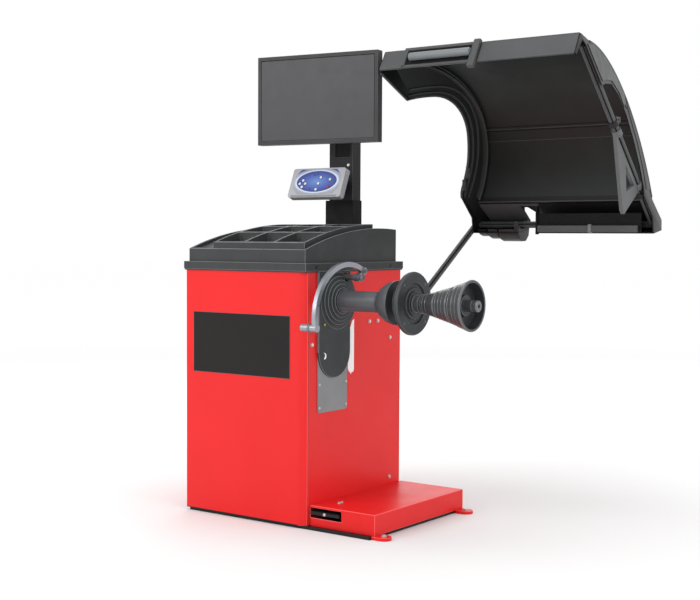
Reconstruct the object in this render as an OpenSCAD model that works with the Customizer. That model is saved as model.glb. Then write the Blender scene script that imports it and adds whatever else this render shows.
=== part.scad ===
// Wheel balancer machine. Millimetres, +Z up, +X along the spindle out of the cabinet's right side,
// +Y towards the back. The origin is on the floor at the centre of the four anchor holes.

/* [Floor] */
// Distance between the anchor holes along X
anchor_dx = 720; // [700:1:800]
// Distance between the anchor holes along Y
anchor_dy = 480; // [440:1:490]
// Diameter of an anchor hole
anchor_hole_d = 14; // [10:1:18]
// Thickness of the base plate
base_t = 10; // [6:1:14]

/* [Cabinet] */
// Width of the cabinet along X
cab_w = 503; // [420:1:620]
// Depth of the cabinet along Y
cab_d = 530; // [500:1:640]
// Height of the cabinet's sheet-metal walls
cab_h = 800; // [660:1:970]
// X of the cabinet's right face
cab_right_x = 85; // [60:1:110]
// Y of the cabinet's front face
cab_front_y = -280; // [-300:1:-270]
// Thickness of the cabinet's sheet metal
sheet_t = 2; // [1.5:0.5:3]
// Chamfer of the front right corner along X
chamfer_x = 25; // [10:1:40]
// Length that the wheel platform reaches past the right face
platform_w = 252; // [200:1:320]
// Height of the wheel platform above the base plate
platform_h = 65; // [60:1:100]

/* [Weight tray] */
// Overhang of the tray's rim past the cabinet walls
rim_over = 6; // [2:1:12]
// Height of the tray's rim
rim_h = 25; // [15:1:40]
// Height of the tray's crown above the rim
tray_crown = 112; // [90:1:140]
// Radius of the tray's arched top
tray_arch_r = 1225; // [1000:1:1600]
// Number of pocket columns
pocket_cols = 3; // [2:1:4]
// Number of pocket rows
pocket_rows = 3; // [2:1:4]

/* [Spindle] */
// Y of the spindle's axis
spindle_y = -120; // [-140:1:-90]
// Height of the spindle's axis above the top of the base plate
spindle_up = 704; // [600:1:720]
// Radius of the threaded shaft
shaft_r = 18; // [14:0.5:20]
// Radius of the shaft in its bearings
journal_r = 20; // [19:0.5:22]
// Outer radius of the spindle housing tube
housing_r = 33; // [31:0.5:36]
// Radius of the wheel flange
flange_r = 98; // [90:1:104]
// Distance from the right face to the flange's wheel face
flange_reach = 302; // [280:1:340]
// Distance from the wheel face to the shaft's tip
shaft_reach = 228; // [210:1:280]

/* [Hood] */
// X of the hood's left wall at its open edge
hood_left_x = 133; // [126:1:150]
// Width of the hood along X
hood_w = 700; // [600:1:760]
// Radius of the hood's back sheet
hood_r = 485; // [440:1:520]
// Thickness of the hood's shell
hood_t = 4; // [3:0.5:6]
// Y of the hood's pivot axis
pivot_y = 287; // [284:1:310]
// Height of the hood's pivot above the base plate
pivot_up = 668; // [560:1:700]
// Radius of the hood's frame tube
frame_r = 12; // [10:0.5:14]

/* [Display post] */
// Width of the post
post_w = 100; // [80:1:120]
// Depth of the post
post_d = 48; // [40:1:60]
// X of the post's centre
post_x = -113; // [-160:1:-100]
// Y of the post's front face
post_y = 170; // [150:1:180]
// Height of the post above the tray's rim
post_h = 605; // [560:1:640]
// Width of the monitor
monitor_w = 462; // [400:1:480]
// Height of the monitor
monitor_h = 300; // [260:1:320]
// Thickness of the monitor
monitor_t = 34; // [26:1:40]
// Width of the keypad
keypad_w = 224; // [190:1:240]
// Length of the keypad's sloping face
keypad_l = 108; // [95:1:130]

/* [Gauges] */
// Radius of the distance gauge's curved arm
arm_r = 166; // [160:1:180]
// Travel of the distance gauge's rod
gauge_travel = 200; // [140:1:204]
// Thickness of the width gauge plate
width_plate_t = 12; // [8:1:16]

/* [Hidden] */
$fn = 64;
red = [0.85, 0.10, 0.10];
dark = [0.22, 0.23, 0.24];
black = [0.08, 0.08, 0.09];
steel = [0.55, 0.56, 0.58];
light = [0.72, 0.74, 0.76];

// Clearances
run_gap = 0.05;
play = 0.4;
cut = 1;

// Cabinet
cab_z0 = base_t;
cab_z1 = cab_z0 + cab_h;
cab_x1 = cab_right_x;
cab_x0 = cab_x1 - cab_w;
cab_y0 = cab_front_y;
cab_y1 = cab_y0 + cab_d;
in_x0 = cab_x0 + sheet_t;
in_x1 = cab_x1 - sheet_t;
in_y0 = cab_y0 + sheet_t;
in_y1 = cab_y1 - sheet_t;
chamfer_y = 13;
corner_return = 18;
base_inset = 8;
floor_t = 3;
upstand = 50;
platform_x1 = cab_x1 + platform_w;
platform_y0 = cab_y0 + 24;
platform_y1 = cab_y1 + 9;
platform_z1 = base_t + platform_h;
platform_t = 3;
ear_r = 24;

// Spindle
spindle_z = base_t + spindle_up;
bracket_x = in_x1 - 63;
bracket_t = 8;
sensor_t = 12;
plate_t = 10;
housing_x0 = cab_x1 - 195;
housing_x1 = cab_x1 + 177;
bearing_w = 18;
flange_x = cab_x1 + flange_reach;
tip_x = flange_x + shaft_reach;
drum_r = 52;
pulley_r = 60;
pulley_w = 20;
motor_pulley_r = 20;
motor_y = 60;
motor_z = spindle_z - 194;
motor_r = 46;
belt_t = 3;
pulley_x1 = housing_x0 - 20;
pulley_x0 = pulley_x1 - pulley_w;
drum_x0 = pulley_x0 - 24;

// Distance gauge
rod_r = 9;
rod_y = spindle_y + 40;
rod_z = cab_z1 - 22;
arm_x0 = cab_x1 + 52;
arm_t = 14;
arm_w = 16;
arm_cy = spindle_y - 20;
arm_cz = spindle_z - 49;
arm_a0 = 60;
arm_a1 = 187;

// Hood
hood_x1 = hood_left_x + hood_w;
pivot_z = base_t + pivot_up;
hood_cy = pivot_y - 117;
hood_cz = pivot_z + 352;
tube_y = pivot_y + 413;
tube_z = pivot_z + 287;
tube_x0 = hood_left_x - 16;
tube_x1 = hood_x1 - 24;
lip_y = pivot_y - 202;
lip_z = pivot_z + 847;

// Post
tray_z1 = cab_z1 + rim_h;
post_top = tray_z1 + post_h;
monitor_z = post_top - 60;
monitor_yaw = 8;
knuckle_y = post_y - 86;
keypad_cx = post_x - 22;
keypad_tilt = 22;
keypad_z = tray_z1 + 217;
keypad_y = post_y - 130;
keypad_t = 24;

// Brake
pedal_y = platform_y0 + 40;
pedal_z = base_t + 36;
brake_x = (drum_x0 + pulley_x0) / 2;

module box(x, y, z) {
    translate([x[0], y[0], z[0]]) cube([x[1] - x[0], y[1] - y[0], z[1] - z[0]]);
}

// Cylinder along X from x[0] to x[1]
module rod_x(x, y, z, r) {
    translate([x[0], y, z]) rotate([0, 90, 0]) cylinder(r = r, h = x[1] - x[0]);
}

// Profile of [radius, x] points turned about an axis along X
module turned(y, z) {
    translate([0, y, z]) rotate([0, 90, 0]) rotate_extrude() children();
}

// Outline in the YZ plane, extruded along X
module along_x(x) {
    translate([x[0], 0, 0]) rotate([90, 0, 90]) linear_extrude(x[1] - x[0]) children();
}

module rounded(w, h, r) {
    square([w - 2 * r, h], center = true);
    square([w, h - 2 * r], center = true);
    for (sx = [-1, 1], sy = [-1, 1])
        translate([sx * (w / 2 - r), sy * (h / 2 - r)]) circle(r);
}

function side(p, q) = let (d = q - p, l = norm(d)) [-d[1] / l, d[0] / l];
function miter(p, i, t) =
    let (last = len(p) - 1,
         a = side(p[max(i - 1, 0)], p[max(i, 1)]),
         b = side(p[min(i, last - 1)], p[min(i + 1, last)]),
         m = a + b)
    p[i] + t * m / (m * a);

// Sheet of thickness t that follows the points, on their left side
module strip(p, t) {
    polygon(concat(p, [for (i = [len(p) - 1:-1:0]) miter(p, i, t)]));
}

function arc(c, r, a0, a1, n) = [for (i = [0:n]) let (a = a0 + (a1 - a0) * i / n) c + r * [cos(a), sin(a)]];

/* ---- Base and cabinet ---- */

module anchor_points() {
    for (x = [-1, 1], y = [-1, 1]) translate([x * anchor_dx / 2, y * anchor_dy / 2]) children();
}

module base_plate() color(black) difference() {
    union() {
        box([cab_x0 + base_inset, platform_x1 - base_inset], [cab_y0 + base_inset, cab_y1 - base_inset],
            [0, base_t]);
        box([in_x0, in_x1], [in_y0 + chamfer_y + 4, in_y1], [base_t, base_t + floor_t]);
        box([in_x0, in_x0 + floor_t], [in_y0 + chamfer_y + 4, in_y1], [base_t, base_t + upstand]);
        box([in_x0, in_x1], [in_y1 - floor_t, in_y1], [base_t, base_t + upstand]);
    }
    anchor_points() translate([0, 0, -cut]) cylinder(d = anchor_hole_d, h = base_t + floor_t + 2 * cut);
}

// Two ears that butt against the base plate and carry the right anchor holes
module anchor_ears() color(red) for (s = [-1, 1]) translate([0, s * anchor_dy / 2, 0]) difference() {
    union() {
        translate([anchor_dx / 2, 0, 0]) cylinder(r = ear_r, h = base_t);
        box([platform_x1 - base_inset, anchor_dx / 2], [-ear_r, ear_r], [0, base_t]);
    }
    translate([anchor_dx / 2, 0, -cut]) cylinder(d = anchor_hole_d, h = base_t + 2 * cut);
}

slot_x = [cab_x1 + 5, cab_x1 + 125];
slot_z = [base_t + 26, base_t + 58];

module platform_cover() color(red) difference() {
    box([cab_x1, platform_x1], [platform_y0, platform_y1], [base_t, platform_z1]);
    box([cab_x1 - cut, platform_x1 - platform_t], [platform_y0 + platform_t, platform_y1 - platform_t],
        [base_t - cut, platform_z1 - platform_t]);
    box(slot_x, [platform_y0 - cut, platform_y0 + platform_t + cut], slot_z);
}

// Plan outline of the front panel's outer surface, from its left return to its right return
front_path = [
    [cab_x0, cab_y0 + corner_return], [cab_x0, cab_y0], [cab_x1 - chamfer_x, cab_y0],
    [cab_x1, cab_y0 + chamfer_y], [cab_x1, cab_y0 + chamfer_y + 5]
];

module front_panel() color(red) translate([0, 0, cab_z0]) linear_extrude(cab_h) strip(front_path, sheet_t);

side_y0 = cab_y0 + chamfer_y + 5.5;
spindle_hole_r = housing_r + 12;
gauge_hole_r = 14;

module right_panel() color(red) difference() {
    box([in_x1, cab_x1], [side_y0, cab_y1], [cab_z0, cab_z1]);
    rod_x([in_x1 - cut, cab_x1 + cut], spindle_y, spindle_z, spindle_hole_r);
    rod_x([in_x1 - cut, cab_x1 + cut], rod_y, rod_z, gauge_hole_r);
    rod_x([in_x1 - cut, cab_x1 + cut], pedal_y, pedal_z, 12);
}

module vent_slots(x, n, z0) {
    for (i = [0:n - 1]) box(x, [-60, 100], [z0 + i * 22, z0 + i * 22 + 8]);
}

module left_panel() color(red) difference() {
    box([cab_x0, in_x0], [cab_y0 + corner_return + 0.5, cab_y1], [cab_z0, cab_z1]);
    vent_slots([cab_x0 - cut, in_x0 + cut], 6, cab_z0 + 560);
}

inlet_z = cab_z0 + 150;
inlet_x = cab_x0 + 120;
inlet_w = 28;
switch_z = inlet_z + 70;

module back_panel() color(red) difference() {
    box([in_x0, in_x1], [in_y1, cab_y1], [cab_z0, cab_z1]);
    box([inlet_x, inlet_x + inlet_w], [in_y1 - cut, cab_y1 + cut], [inlet_z, inlet_z + inlet_w]);
    box([inlet_x, inlet_x + inlet_w], [in_y1 - cut, cab_y1 + cut], [switch_z, switch_z + inlet_w]);
}

/* ---- Weight tray ---- */

tray_x0 = cab_x0 + 10;
tray_x1 = cab_x1 - 3;
tray_y0 = cab_y0 + 3;
tray_y1 = cab_y1 - 25;
tray_top = tray_z1 + tray_crown;
tray_wall = 4;
crown_y = tray_y1 - 95;
block_x = [tray_x0 + 88, tray_x1 - 20];
block_y = [tray_y0 + 22, tray_y1 - 110];
pocket_gap = 9;
pocket_floor = 28;
pocket_corner_r = 8;
block_up = 14;

// YZ outline under the arched top, lowered by drop
module tray_side(y0, y1, drop) {
    intersection() {
        translate([y0, tray_z1 - cut]) square([y1 - y0, tray_crown + 60]);
        translate([crown_y, tray_top - drop - tray_arch_r]) circle(tray_arch_r, $fn = 200);
    }
}

module pocket_holes() {
    pw = (block_x[1] - block_x[0] - pocket_gap) / pocket_cols;
    pd = (block_y[1] - block_y[0] - pocket_gap) / pocket_rows;
    for (i = [0:pocket_cols - 1], j = [0:pocket_rows - 1])
        translate([
            block_x[0] + pocket_gap / 2 + (i + 0.5) * pw,
            block_y[0] + pocket_gap / 2 + (j + 0.5) * pd,
            0
        ])
            linear_extrude(tray_top + 2 * pocket_floor)
                rounded(pw - pocket_gap, pd - pocket_gap, pocket_corner_r);
}

module weight_tray() color(dark) difference() {
    union() {
        box([cab_x0 - rim_over, cab_x1 + rim_over], [cab_y0 - rim_over, cab_y1 + rim_over],
            [cab_z1, tray_z1]);
        difference() {
            along_x([tray_x0, tray_x1]) tray_side(tray_y0, tray_y1, 0);
            along_x([tray_x0 + 8, tray_x1 - 8]) difference() {
                tray_side(tray_y0 + 8, tray_y1 - 60, -60);
                tray_side(tray_y0, tray_y1, 12);
            }
        }
        intersection() {
            along_x(block_x) tray_side(block_y[0], block_y[1], -block_up);
            box(block_x, block_y, [cab_z1 + 2, tray_top + 50]);
        }
    }
    difference() {
        pocket_holes();
        along_x([tray_x0, tray_x1]) tray_side(tray_y0 - 10, tray_y1, pocket_floor - block_up);
        box([tray_x0, tray_x1], [tray_y0, tray_y1], [0, cab_z1 + 12]);
    }
    difference() {
        along_x([tray_x0 + tray_wall, tray_x1 - tray_wall])
            tray_side(tray_y0 + tray_wall, tray_y1 - tray_wall, pocket_floor - block_up + tray_wall);
        box([tray_x0, tray_x1], [tray_y0, tray_y1], [tray_z1 - cut, tray_z1 + 3]);
    }
    box([cab_x0 + 6, cab_x1 - 6], [cab_y0 + 20, cab_y1 - 6], [cab_z1 - cut, tray_z1 - tray_wall]);
    box([tray_x0 + 8, tray_x1 - 8], [tray_y0 + 18, tray_y1 - 8], [cab_z1 + 10, tray_z1 + 4]);
    box([sleeve_x[0] - play, sleeve_x[1] + play], [sleeve_y[0] - play, sleeve_y[1] + play],
        [cab_z1 - cut, tray_top + 50]);
}

/* ---- Right side fittings ---- */

plate_y = [cab_y0 + 61, cab_y0 + 228];
plate_bottom = cab_z0 + 458;
plate_thick = 8;
plate_r = (plate_y[1] - plate_y[0]) / 2;
dome_r = 92;
lobe_w = 7;
lobe_reach = 200;
rod_hole_r = rod_r + 6;
plate_slot_r = 118;
plate_slot_w = 14;
plate_slot_a = [152, 215];

// Plate outline: straight sides, a round bottom and a clipped lobe round the spindle
module plate_outline() {
    cy = (plate_y[0] + plate_y[1]) / 2;
    translate([plate_y[0], plate_bottom + plate_r])
        square([2 * plate_r, cab_z1 - plate_bottom - plate_r - play]);
    translate([cy, plate_bottom + plate_r]) circle(plate_r);
    intersection() {
        translate([spindle_y, spindle_z]) circle(dome_r + lobe_w);
        translate([cy, spindle_z - lobe_reach])
            square([1.5 * lobe_reach, cab_z1 - play - spindle_z + lobe_reach]);
    }
}

module arc_slot(r, w, a0, a1) {
    intersection() {
        difference() {
            circle(r + w / 2);
            circle(r - w / 2);
        }
        polygon([[0, 0], 2 * r * [cos(a0), sin(a0)], 2 * r * [cos((a0 + a1) / 2), sin((a0 + a1) / 2)],
            2 * r * [cos(a1), sin(a1)]]);
    }
}

module gauge_plate() color(dark) along_x([cab_x1, cab_x1 + plate_thick]) difference() {
    plate_outline();
    translate([spindle_y, spindle_z]) circle(dome_r);
    translate([rod_y, rod_z]) circle(rod_hole_r);
    translate([arm_cy, arm_cz]) arc_slot(plate_slot_r, plate_slot_w, plate_slot_a[0], plate_slot_a[1]);
}

module spindle_dome() color(dark) difference() {
    turned(spindle_y, spindle_z) polygon([
        [housing_r + 3, cab_x1], [dome_r - play, cab_x1], [dome_r - play, cab_x1 + 10],
        [80, cab_x1 + 10], [78, cab_x1 + 15], [68, cab_x1 + 15], [66, cab_x1 + 20],
        [56, cab_x1 + 20], [54, cab_x1 + 25], [44, cab_x1 + 25], [42, cab_x1 + 29],
        [housing_r + 3, cab_x1 + 29]
    ]);
    rod_x([cab_x1 - cut, cab_x1 + 60], rod_y, rod_z, rod_hole_r + play);
    box([cab_x1 - cut, cab_x1 + 60], [spindle_y - 200, spindle_y + 200], [cab_z1 - play, cab_z1 + 40]);
}

cover_y = [plate_y[0] + 1, plate_y[1] - 10];
cover_z = [cab_z0 + 350, cab_z0 + 535];
cover_t = 3;
cover_corner_r = 12;

module slot_cover() color(light) along_x([cab_x1, cab_x1 + cover_t]) difference() {
    translate([(cover_y[0] + cover_y[1]) / 2, (cover_z[0] + cover_z[1]) / 2])
        rounded(cover_y[1] - cover_y[0], cover_z[1] - cover_z[0], cover_corner_r);
    offset_plate();
}

// Outline of the gauge plate with play round it
module offset_plate() {
    translate([(plate_y[0] + plate_y[1]) / 2, plate_bottom + plate_r]) circle(plate_r + play);
    translate([plate_y[0] - play, plate_bottom + plate_r]) square([2 * (plate_r + play), cab_h]);
}

screw_r = 5;
head_h = 4;
side_screws = [
    [spindle_y + 113, spindle_z + 78], [spindle_y + 185, spindle_z - 76], [spindle_y + 233, spindle_z - 76],
    [cab_y1 - 64, cab_z0 + 568], [cab_y1 - 64, cab_z0 + 90], [cab_y0 + 34, cab_z0 + 569]
];

module panel_screws() color(light) {
    for (s = side_screws) rod_x([cab_x1, cab_x1 + head_h], s[0], s[1], screw_r);
    for (z = [cover_z[0] + 16, cover_z[0] + 90], y = cover_y)
        rod_x([cab_x1 + cover_t, cab_x1 + 2 * cover_t], y + (y == cover_y[0] ? 8 : -8), z, screw_r - 1);
    for (y = [-anchor_dy / 2, platform_y0 + 30])
        translate([cab_x1 + 60, y + 60, platform_z1]) cylinder(r = screw_r, h = head_h);
    for (z = [post_top - 305, post_top - 275])
        translate([post_x + 33, post_y, z]) rotate([90, 0, 0]) cylinder(r = screw_r, h = head_h);
}

peg_r = 9;
peg_l = 92;
peg_y = cab_y0 + 120;

module storage_pegs() color(steel) for (z = [cab_z0 + 281, cab_z0 + 483]) {
    rod_x([cab_x0 - peg_l, cab_x0], peg_y, z, peg_r);
    rod_x([cab_x0 - peg_l - 3, cab_x0 - peg_l], peg_y, z, peg_r - 3);
}

/* ---- Inside the cabinet ---- */

module spindle_bracket() color(steel) difference() {
    union() {
        box([bracket_x, bracket_x + bracket_t], [in_y0 + 6, in_y1 - floor_t],
            [base_t + floor_t, cab_z1 - 6]);
        for (y = [in_y0 + 6, in_y1 - floor_t - bracket_t])
            box([bracket_x - 40, bracket_x], [y, y + bracket_t], [base_t + floor_t, cab_z1 - 6]);
    }
    rod_x([bracket_x - cut, bracket_x + bracket_t + cut], spindle_y, spindle_z, housing_r + 14);
    rod_x([bracket_x - cut, bracket_x + bracket_t + cut], rod_y, rod_z, 20);
    rod_x([bracket_x - cut, bracket_x + bracket_t + cut], motor_y, motor_z, 16);
    rod_x([bracket_x - 60, bracket_x + bracket_t + cut], pedal_y, pedal_z, 12);
}

housing_plate_x = bracket_x - sensor_t - plate_t;
sensor_dz = 66;

module spindle_housing() color(steel) difference() {
    union() {
        rod_x([housing_x0, housing_x1], spindle_y, spindle_z, housing_r);
        box([housing_plate_x, housing_plate_x + plate_t], [spindle_y - 60, spindle_y + 60],
            [spindle_z - 80, spindle_z + 80]);
    }
    rod_x([housing_x0 - cut, housing_x1 + cut], spindle_y, spindle_z, journal_r + 2);
    for (x = [housing_x0, housing_x1 - bearing_w])
        rod_x([x - (x == housing_x0 ? cut : 0), x + bearing_w + (x == housing_x0 ? 0 : cut)],
            spindle_y, spindle_z, housing_r - 5);
    rod_x([housing_plate_x - cut, housing_plate_x + plate_t + cut], rod_y, rod_z, 22);
}

module force_sensors() color("goldenrod") for (s = [-1, 1])
    rod_x([bracket_x - sensor_t, bracket_x], spindle_y, spindle_z + s * sensor_dz, 13);

module spindle_bearings() color(light) for (x = [housing_x0, housing_x1 - bearing_w]) difference() {
    rod_x([x, x + bearing_w], spindle_y, spindle_z, housing_r - 5);
    rod_x([x - cut, x + bearing_w + cut], spindle_y, spindle_z, journal_r + run_gap);
}

motor_x0 = pulley_x1 + 10;
motor_foot = 50;
motor_foot_t = 12;
motor_shaft_r = 6;

module drive_motor() color(dark) difference() {
    union() {
        rod_x([motor_x0, bracket_x - motor_foot_t], motor_y, motor_z, motor_r);
        box([bracket_x - motor_foot_t, bracket_x], [motor_y - motor_foot, motor_y + motor_foot],
            [motor_z - motor_foot, motor_z + motor_foot]);
    }
    rod_x([motor_x0 - cut, motor_x0 + 30], motor_y, motor_z, motor_shaft_r + run_gap);
}

// Outline of a belt round both pulleys, at distance e outside them
module belt_outline(e) {
    dy = motor_y - spindle_y;
    dz = motor_z - spindle_z;
    d = norm([dy, dz]);
    a = atan2(dz, dy);
    r1 = pulley_r + e;
    r2 = motor_pulley_r + e;
    b = acos((r1 - r2) / d);
    c1 = [spindle_y, spindle_z];
    c2 = [motor_y, motor_z];
    translate(c1) circle(r1);
    translate(c2) circle(r2);
    polygon([c1 + r1 * [cos(a + b), sin(a + b)], c1 + r1 * [cos(a - b), sin(a - b)],
        c2 + r2 * [cos(a - b), sin(a - b)], c2 + r2 * [cos(a + b), sin(a + b)]]);
}

module drive_belt() color(black) along_x([pulley_x0 + 3, pulley_x1 - 3]) difference() {
    belt_outline(play + belt_t);
    belt_outline(play);
}

board_off = 30;
board_t = 2;
board_y = [-150, 60];

module circuit_board() color("darkgreen") {
    x = in_x0 + board_off;
    box([x, x + board_t], board_y, [cab_z0 + 180, cab_z0 + 400]);
    for (i = [0:3]) let (y = board_y[0] + 20 + 46 * i)
        box([x + board_t, x + board_t + 20], [y, y + 26], [cab_z0 + 220, cab_z0 + 250]);
    for (y = board_y + [10, -10], z = [cab_z0 + 190, cab_z0 + 390]) rod_x([in_x0, x], y, z, 4);
}

module mains_inlet() color(black) difference() {
    union() {
        box([inlet_x + 0.2, inlet_x + inlet_w - 0.2], [cab_y1 - 24, cab_y1],
            [inlet_z + 0.2, inlet_z + inlet_w - 0.2]);
        box([inlet_x - 5, inlet_x + inlet_w + 5], [cab_y1, cab_y1 + 3], [inlet_z - 4, inlet_z + inlet_w + 4]);
    }
    box([inlet_x + 4, inlet_x + inlet_w - 4], [cab_y1 - 16, cab_y1 + 4],
        [inlet_z + 5, inlet_z + inlet_w - 5]);
}

module power_switch() color(black) {
    yc = cab_y1 - 2;
    intersection() {
        box([inlet_x + 1, inlet_x + inlet_w - 1], [yc - 9, yc + 9], [switch_z + 3, switch_z + inlet_w - 3]);
        translate([inlet_x, yc - 14, switch_z + inlet_w / 2])
            rotate([0, 90, 0]) cylinder(r = 22, h = inlet_w);
    }
}

guide_x = [bracket_x - 150, in_x1];

module gauge_guide() color(steel) difference() {
    union() {
        rod_x(guide_x, rod_y, rod_z, gauge_hole_r - 1);
        rod_x([bracket_x + bracket_t, bracket_x + bracket_t + 6], rod_y, rod_z, 26);
    }
    rod_x([guide_x[0] - cut, guide_x[1] + cut], rod_y, rod_z, rod_r + run_gap);
}

/* ---- Post, monitor, keypad ---- */

post_back = post_y + post_d;
post_wall = 3;
sleeve_x = [post_x - post_w / 2 - 14, post_x + post_w / 2 + post_wall];
sleeve_y = [post_y - post_wall, post_back + post_wall];
sleeve_z = [cab_z1 - 150, tray_z1 + 209];
post_z0 = tray_z1 + 120;

// Upright rectangular tube with walls of thickness w
module tube_z(x, y, z, w) {
    difference() {
        box(x, y, z);
        box([x[0] + w, x[1] - w], [y[0] + w, y[1] - w], [z[0] - cut, z[1] + cut]);
    }
}

// Sleeve that carries the post and is bolted to the back panel through two spacers
module post_sleeve() color(black) {
    tube_z(sleeve_x, sleeve_y, sleeve_z, post_wall);
    for (z = [sleeve_z[0] + 20, sleeve_z[0] + 90]) box(sleeve_x, [sleeve_y[1], in_y1], [z, z + 30]);
}

module post() color(dark) difference() {
    tube_z([post_x - post_w / 2, post_x + post_w / 2], [post_y, post_back], [post_z0, post_top], post_wall);
    box([post_x - 26, post_x + 40], [post_y - cut, post_y + post_wall + cut],
        [post_top - 247, post_top - 195]);
}

module monitor_bracket() color(black) {
    box([post_x - vesa, post_x + vesa], [post_y - 6, post_y], [monitor_z - vesa, monitor_z + vesa]);
    box([post_x - 12, post_x + 12], [knuckle_y + 12, post_y - 6], [monitor_z - 14, monitor_z + 14]);
    difference() {
        translate([post_x, knuckle_y, monitor_z - 14]) cylinder(r = knuckle_r + 2, h = 28);
        translate([post_x, knuckle_y, monitor_z - 20]) cylinder(r = pin_r + run_gap, h = 40);
    }
}

module yawed() {
    translate([post_x, knuckle_y, 0]) rotate([0, 0, monitor_yaw])
        translate([-post_x, -knuckle_y, 0]) children();
}

monitor_back = knuckle_y - 34;
bezel = 12;
bezel_low = 14;
knuckle_r = 14;
pin_r = 6;
vesa = 50;

module monitor_housing() color(dark) {
    yawed() {
        difference() {
            box([post_x - monitor_w / 2, post_x + monitor_w / 2], [monitor_back - monitor_t, monitor_back],
                [monitor_z - monitor_h / 2, monitor_z + monitor_h / 2]);
            box([post_x - monitor_w / 2 + bezel, post_x + monitor_w / 2 - bezel],
                [monitor_back - monitor_t - cut, monitor_back - monitor_t + 4],
                [monitor_z - monitor_h / 2 + bezel_low, monitor_z + monitor_h / 2 - bezel]);
        }
        for (s = [-1, 1])
            box([post_x - 12, post_x + 12], [monitor_back, knuckle_y],
                [monitor_z + s * 20 - 5, monitor_z + s * 20 + 5]);
        for (s = [-1, 1])
            translate([post_x, knuckle_y, monitor_z + s * 20 - 5]) cylinder(r = knuckle_r, h = 10);
        translate([post_x, knuckle_y, monitor_z - 24]) cylinder(r = pin_r, h = 48);
        box([post_x - vesa, post_x + vesa], [monitor_back, monitor_back + 6],
            [monitor_z - vesa, monitor_z + vesa]);
    }
}

module monitor_screen() color("dimgray") yawed()
    box([post_x - monitor_w / 2 + bezel + 0.2, post_x + monitor_w / 2 - bezel - 0.2],
        [monitor_back - monitor_t + 1.5, monitor_back - monitor_t + 4],
        [monitor_z - monitor_h / 2 + bezel_low + 0.2, monitor_z + monitor_h / 2 - bezel - 0.2]);

// Keypad frame: u across, v up the sloping face, w out of the face
module keypad_frame() {
    translate([keypad_cx, keypad_y, keypad_z]) rotate([90 - keypad_tilt, 0, 0]) children();
}

key_r = 5;
key_gap = 0.6;
key_depth = 6;
key_up = 3;
pad_x = -58;
pad_y = 50;
pad_r = 12;
column_x = 10;
key_spots = [
    [pad_x, pad_y + pad_r], [pad_x, pad_y - pad_r], [pad_x - pad_r, pad_y], [pad_x + pad_r, pad_y],
    [column_x + 5, pad_y + 22], [column_x, pad_y], [column_x - 5, pad_y - 22],
    [column_x + 46, pad_y + 14], [column_x + 44, pad_y - 14]
];

module keypad_bracket() color(black) {
    difference() {
        box([post_x - 30, post_x + 30], [keypad_y + 30, post_y], [keypad_z + 30, keypad_z + 34]);
        keypad_frame() translate([-keypad_w, -cut, -keypad_t]) cube([2 * keypad_w, keypad_l, 2 * keypad_t]);
    }
    box([post_x - 30, post_x + 30], [post_y - 4, post_y], [keypad_z + 34, keypad_z + 60]);
}

module keypad_housing() color(light) difference() {
    keypad_frame() translate([0, keypad_l / 2, -keypad_t]) linear_extrude(keypad_t)
        rounded(keypad_w, keypad_l, 10);
    keypad_frame() for (k = key_spots) translate([k[0], k[1], -key_depth - 2])
        cylinder(r = key_r + key_gap, h = 20);
}

module overlay_oval() {
    intersection() {
        translate([0, -38]) circle(112);
        translate([0, 38]) circle(112);
        square([190, 90], center = true);
    }
}

module keypad_overlay() color("royalblue") keypad_frame() difference() {
    translate([0, keypad_l / 2 + 4, 0]) linear_extrude(1) overlay_oval();
    for (k = key_spots) translate([k[0], k[1], -cut]) cylinder(r = key_r + key_gap, h = 4);
}

module key_cap(i, c) {
    color(c) keypad_frame() translate([key_spots[i][0], key_spots[i][1], -key_depth])
        cylinder(r = key_r, h = key_depth + key_up);
}

/* ---- Spindle and cones ---- */

module spindle_shaft() color(steel) difference() {
    turned(spindle_y, spindle_z) polygon([
        [0, drum_x0 - 8], [16, drum_x0 - 8], [16, housing_x0 - 2], [journal_r, housing_x0 - 2],
        [journal_r, flange_x - 60], [shaft_r, flange_x - 60], [shaft_r, tip_x - 19],
        [shaft_r - 1, tip_x - 18], [shaft_r - 1, tip_x - 17], [shaft_r, tip_x - 16],
        [shaft_r, tip_x - 3], [shaft_r - 3, tip_x], [0, tip_x]
    ]);
    rod_x([tip_x - 30, tip_x + cut], spindle_y, spindle_z, 6);
}

module spindle_pulley() color(steel) turned(spindle_y, spindle_z) polygon([
    [16, drum_x0], [drum_r, drum_x0], [drum_r, pulley_x0 - 2], [pulley_r + 4, pulley_x0 - 2],
    [pulley_r + 4, pulley_x0], [pulley_r, pulley_x0], [pulley_r, pulley_x1], [pulley_r + 4, pulley_x1],
    [pulley_r + 4, pulley_x1 + 2], [30, pulley_x1 + 2], [30, pulley_x1 - 10], [16, pulley_x1 - 10]
]);

module encoder_disc() color("lightgray") difference() {
    turned(spindle_y, spindle_z) polygon([[16, housing_x0 - 12], [46, housing_x0 - 12], [46, housing_x0 - 10],
        [22, housing_x0 - 10], [22, housing_x0 - 5], [16, housing_x0 - 5]]);
    for (i = [0:15]) translate([0, spindle_y, spindle_z]) rotate([i * 22.5, 0, 0])
        rod_x([housing_x0 - 13, housing_x0 - 9], 40, 0, 2.5);
}

hub_x0 = housing_x1 + 8;
hub_x1 = flange_x - 62;

module hub_cup() color(light) turned(spindle_y, spindle_z) polygon([
    [journal_r, hub_x0], [42, hub_x0], [52, hub_x0 + 8], [62, hub_x0 + 24], [68, hub_x0 + 42],
    [70, hub_x1], [64, hub_x1], [62, hub_x1 - 8], [40, hub_x1 - 8], [journal_r, hub_x1 - 8]
]);

boss_r = 38;
boss_h = 5;

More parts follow.
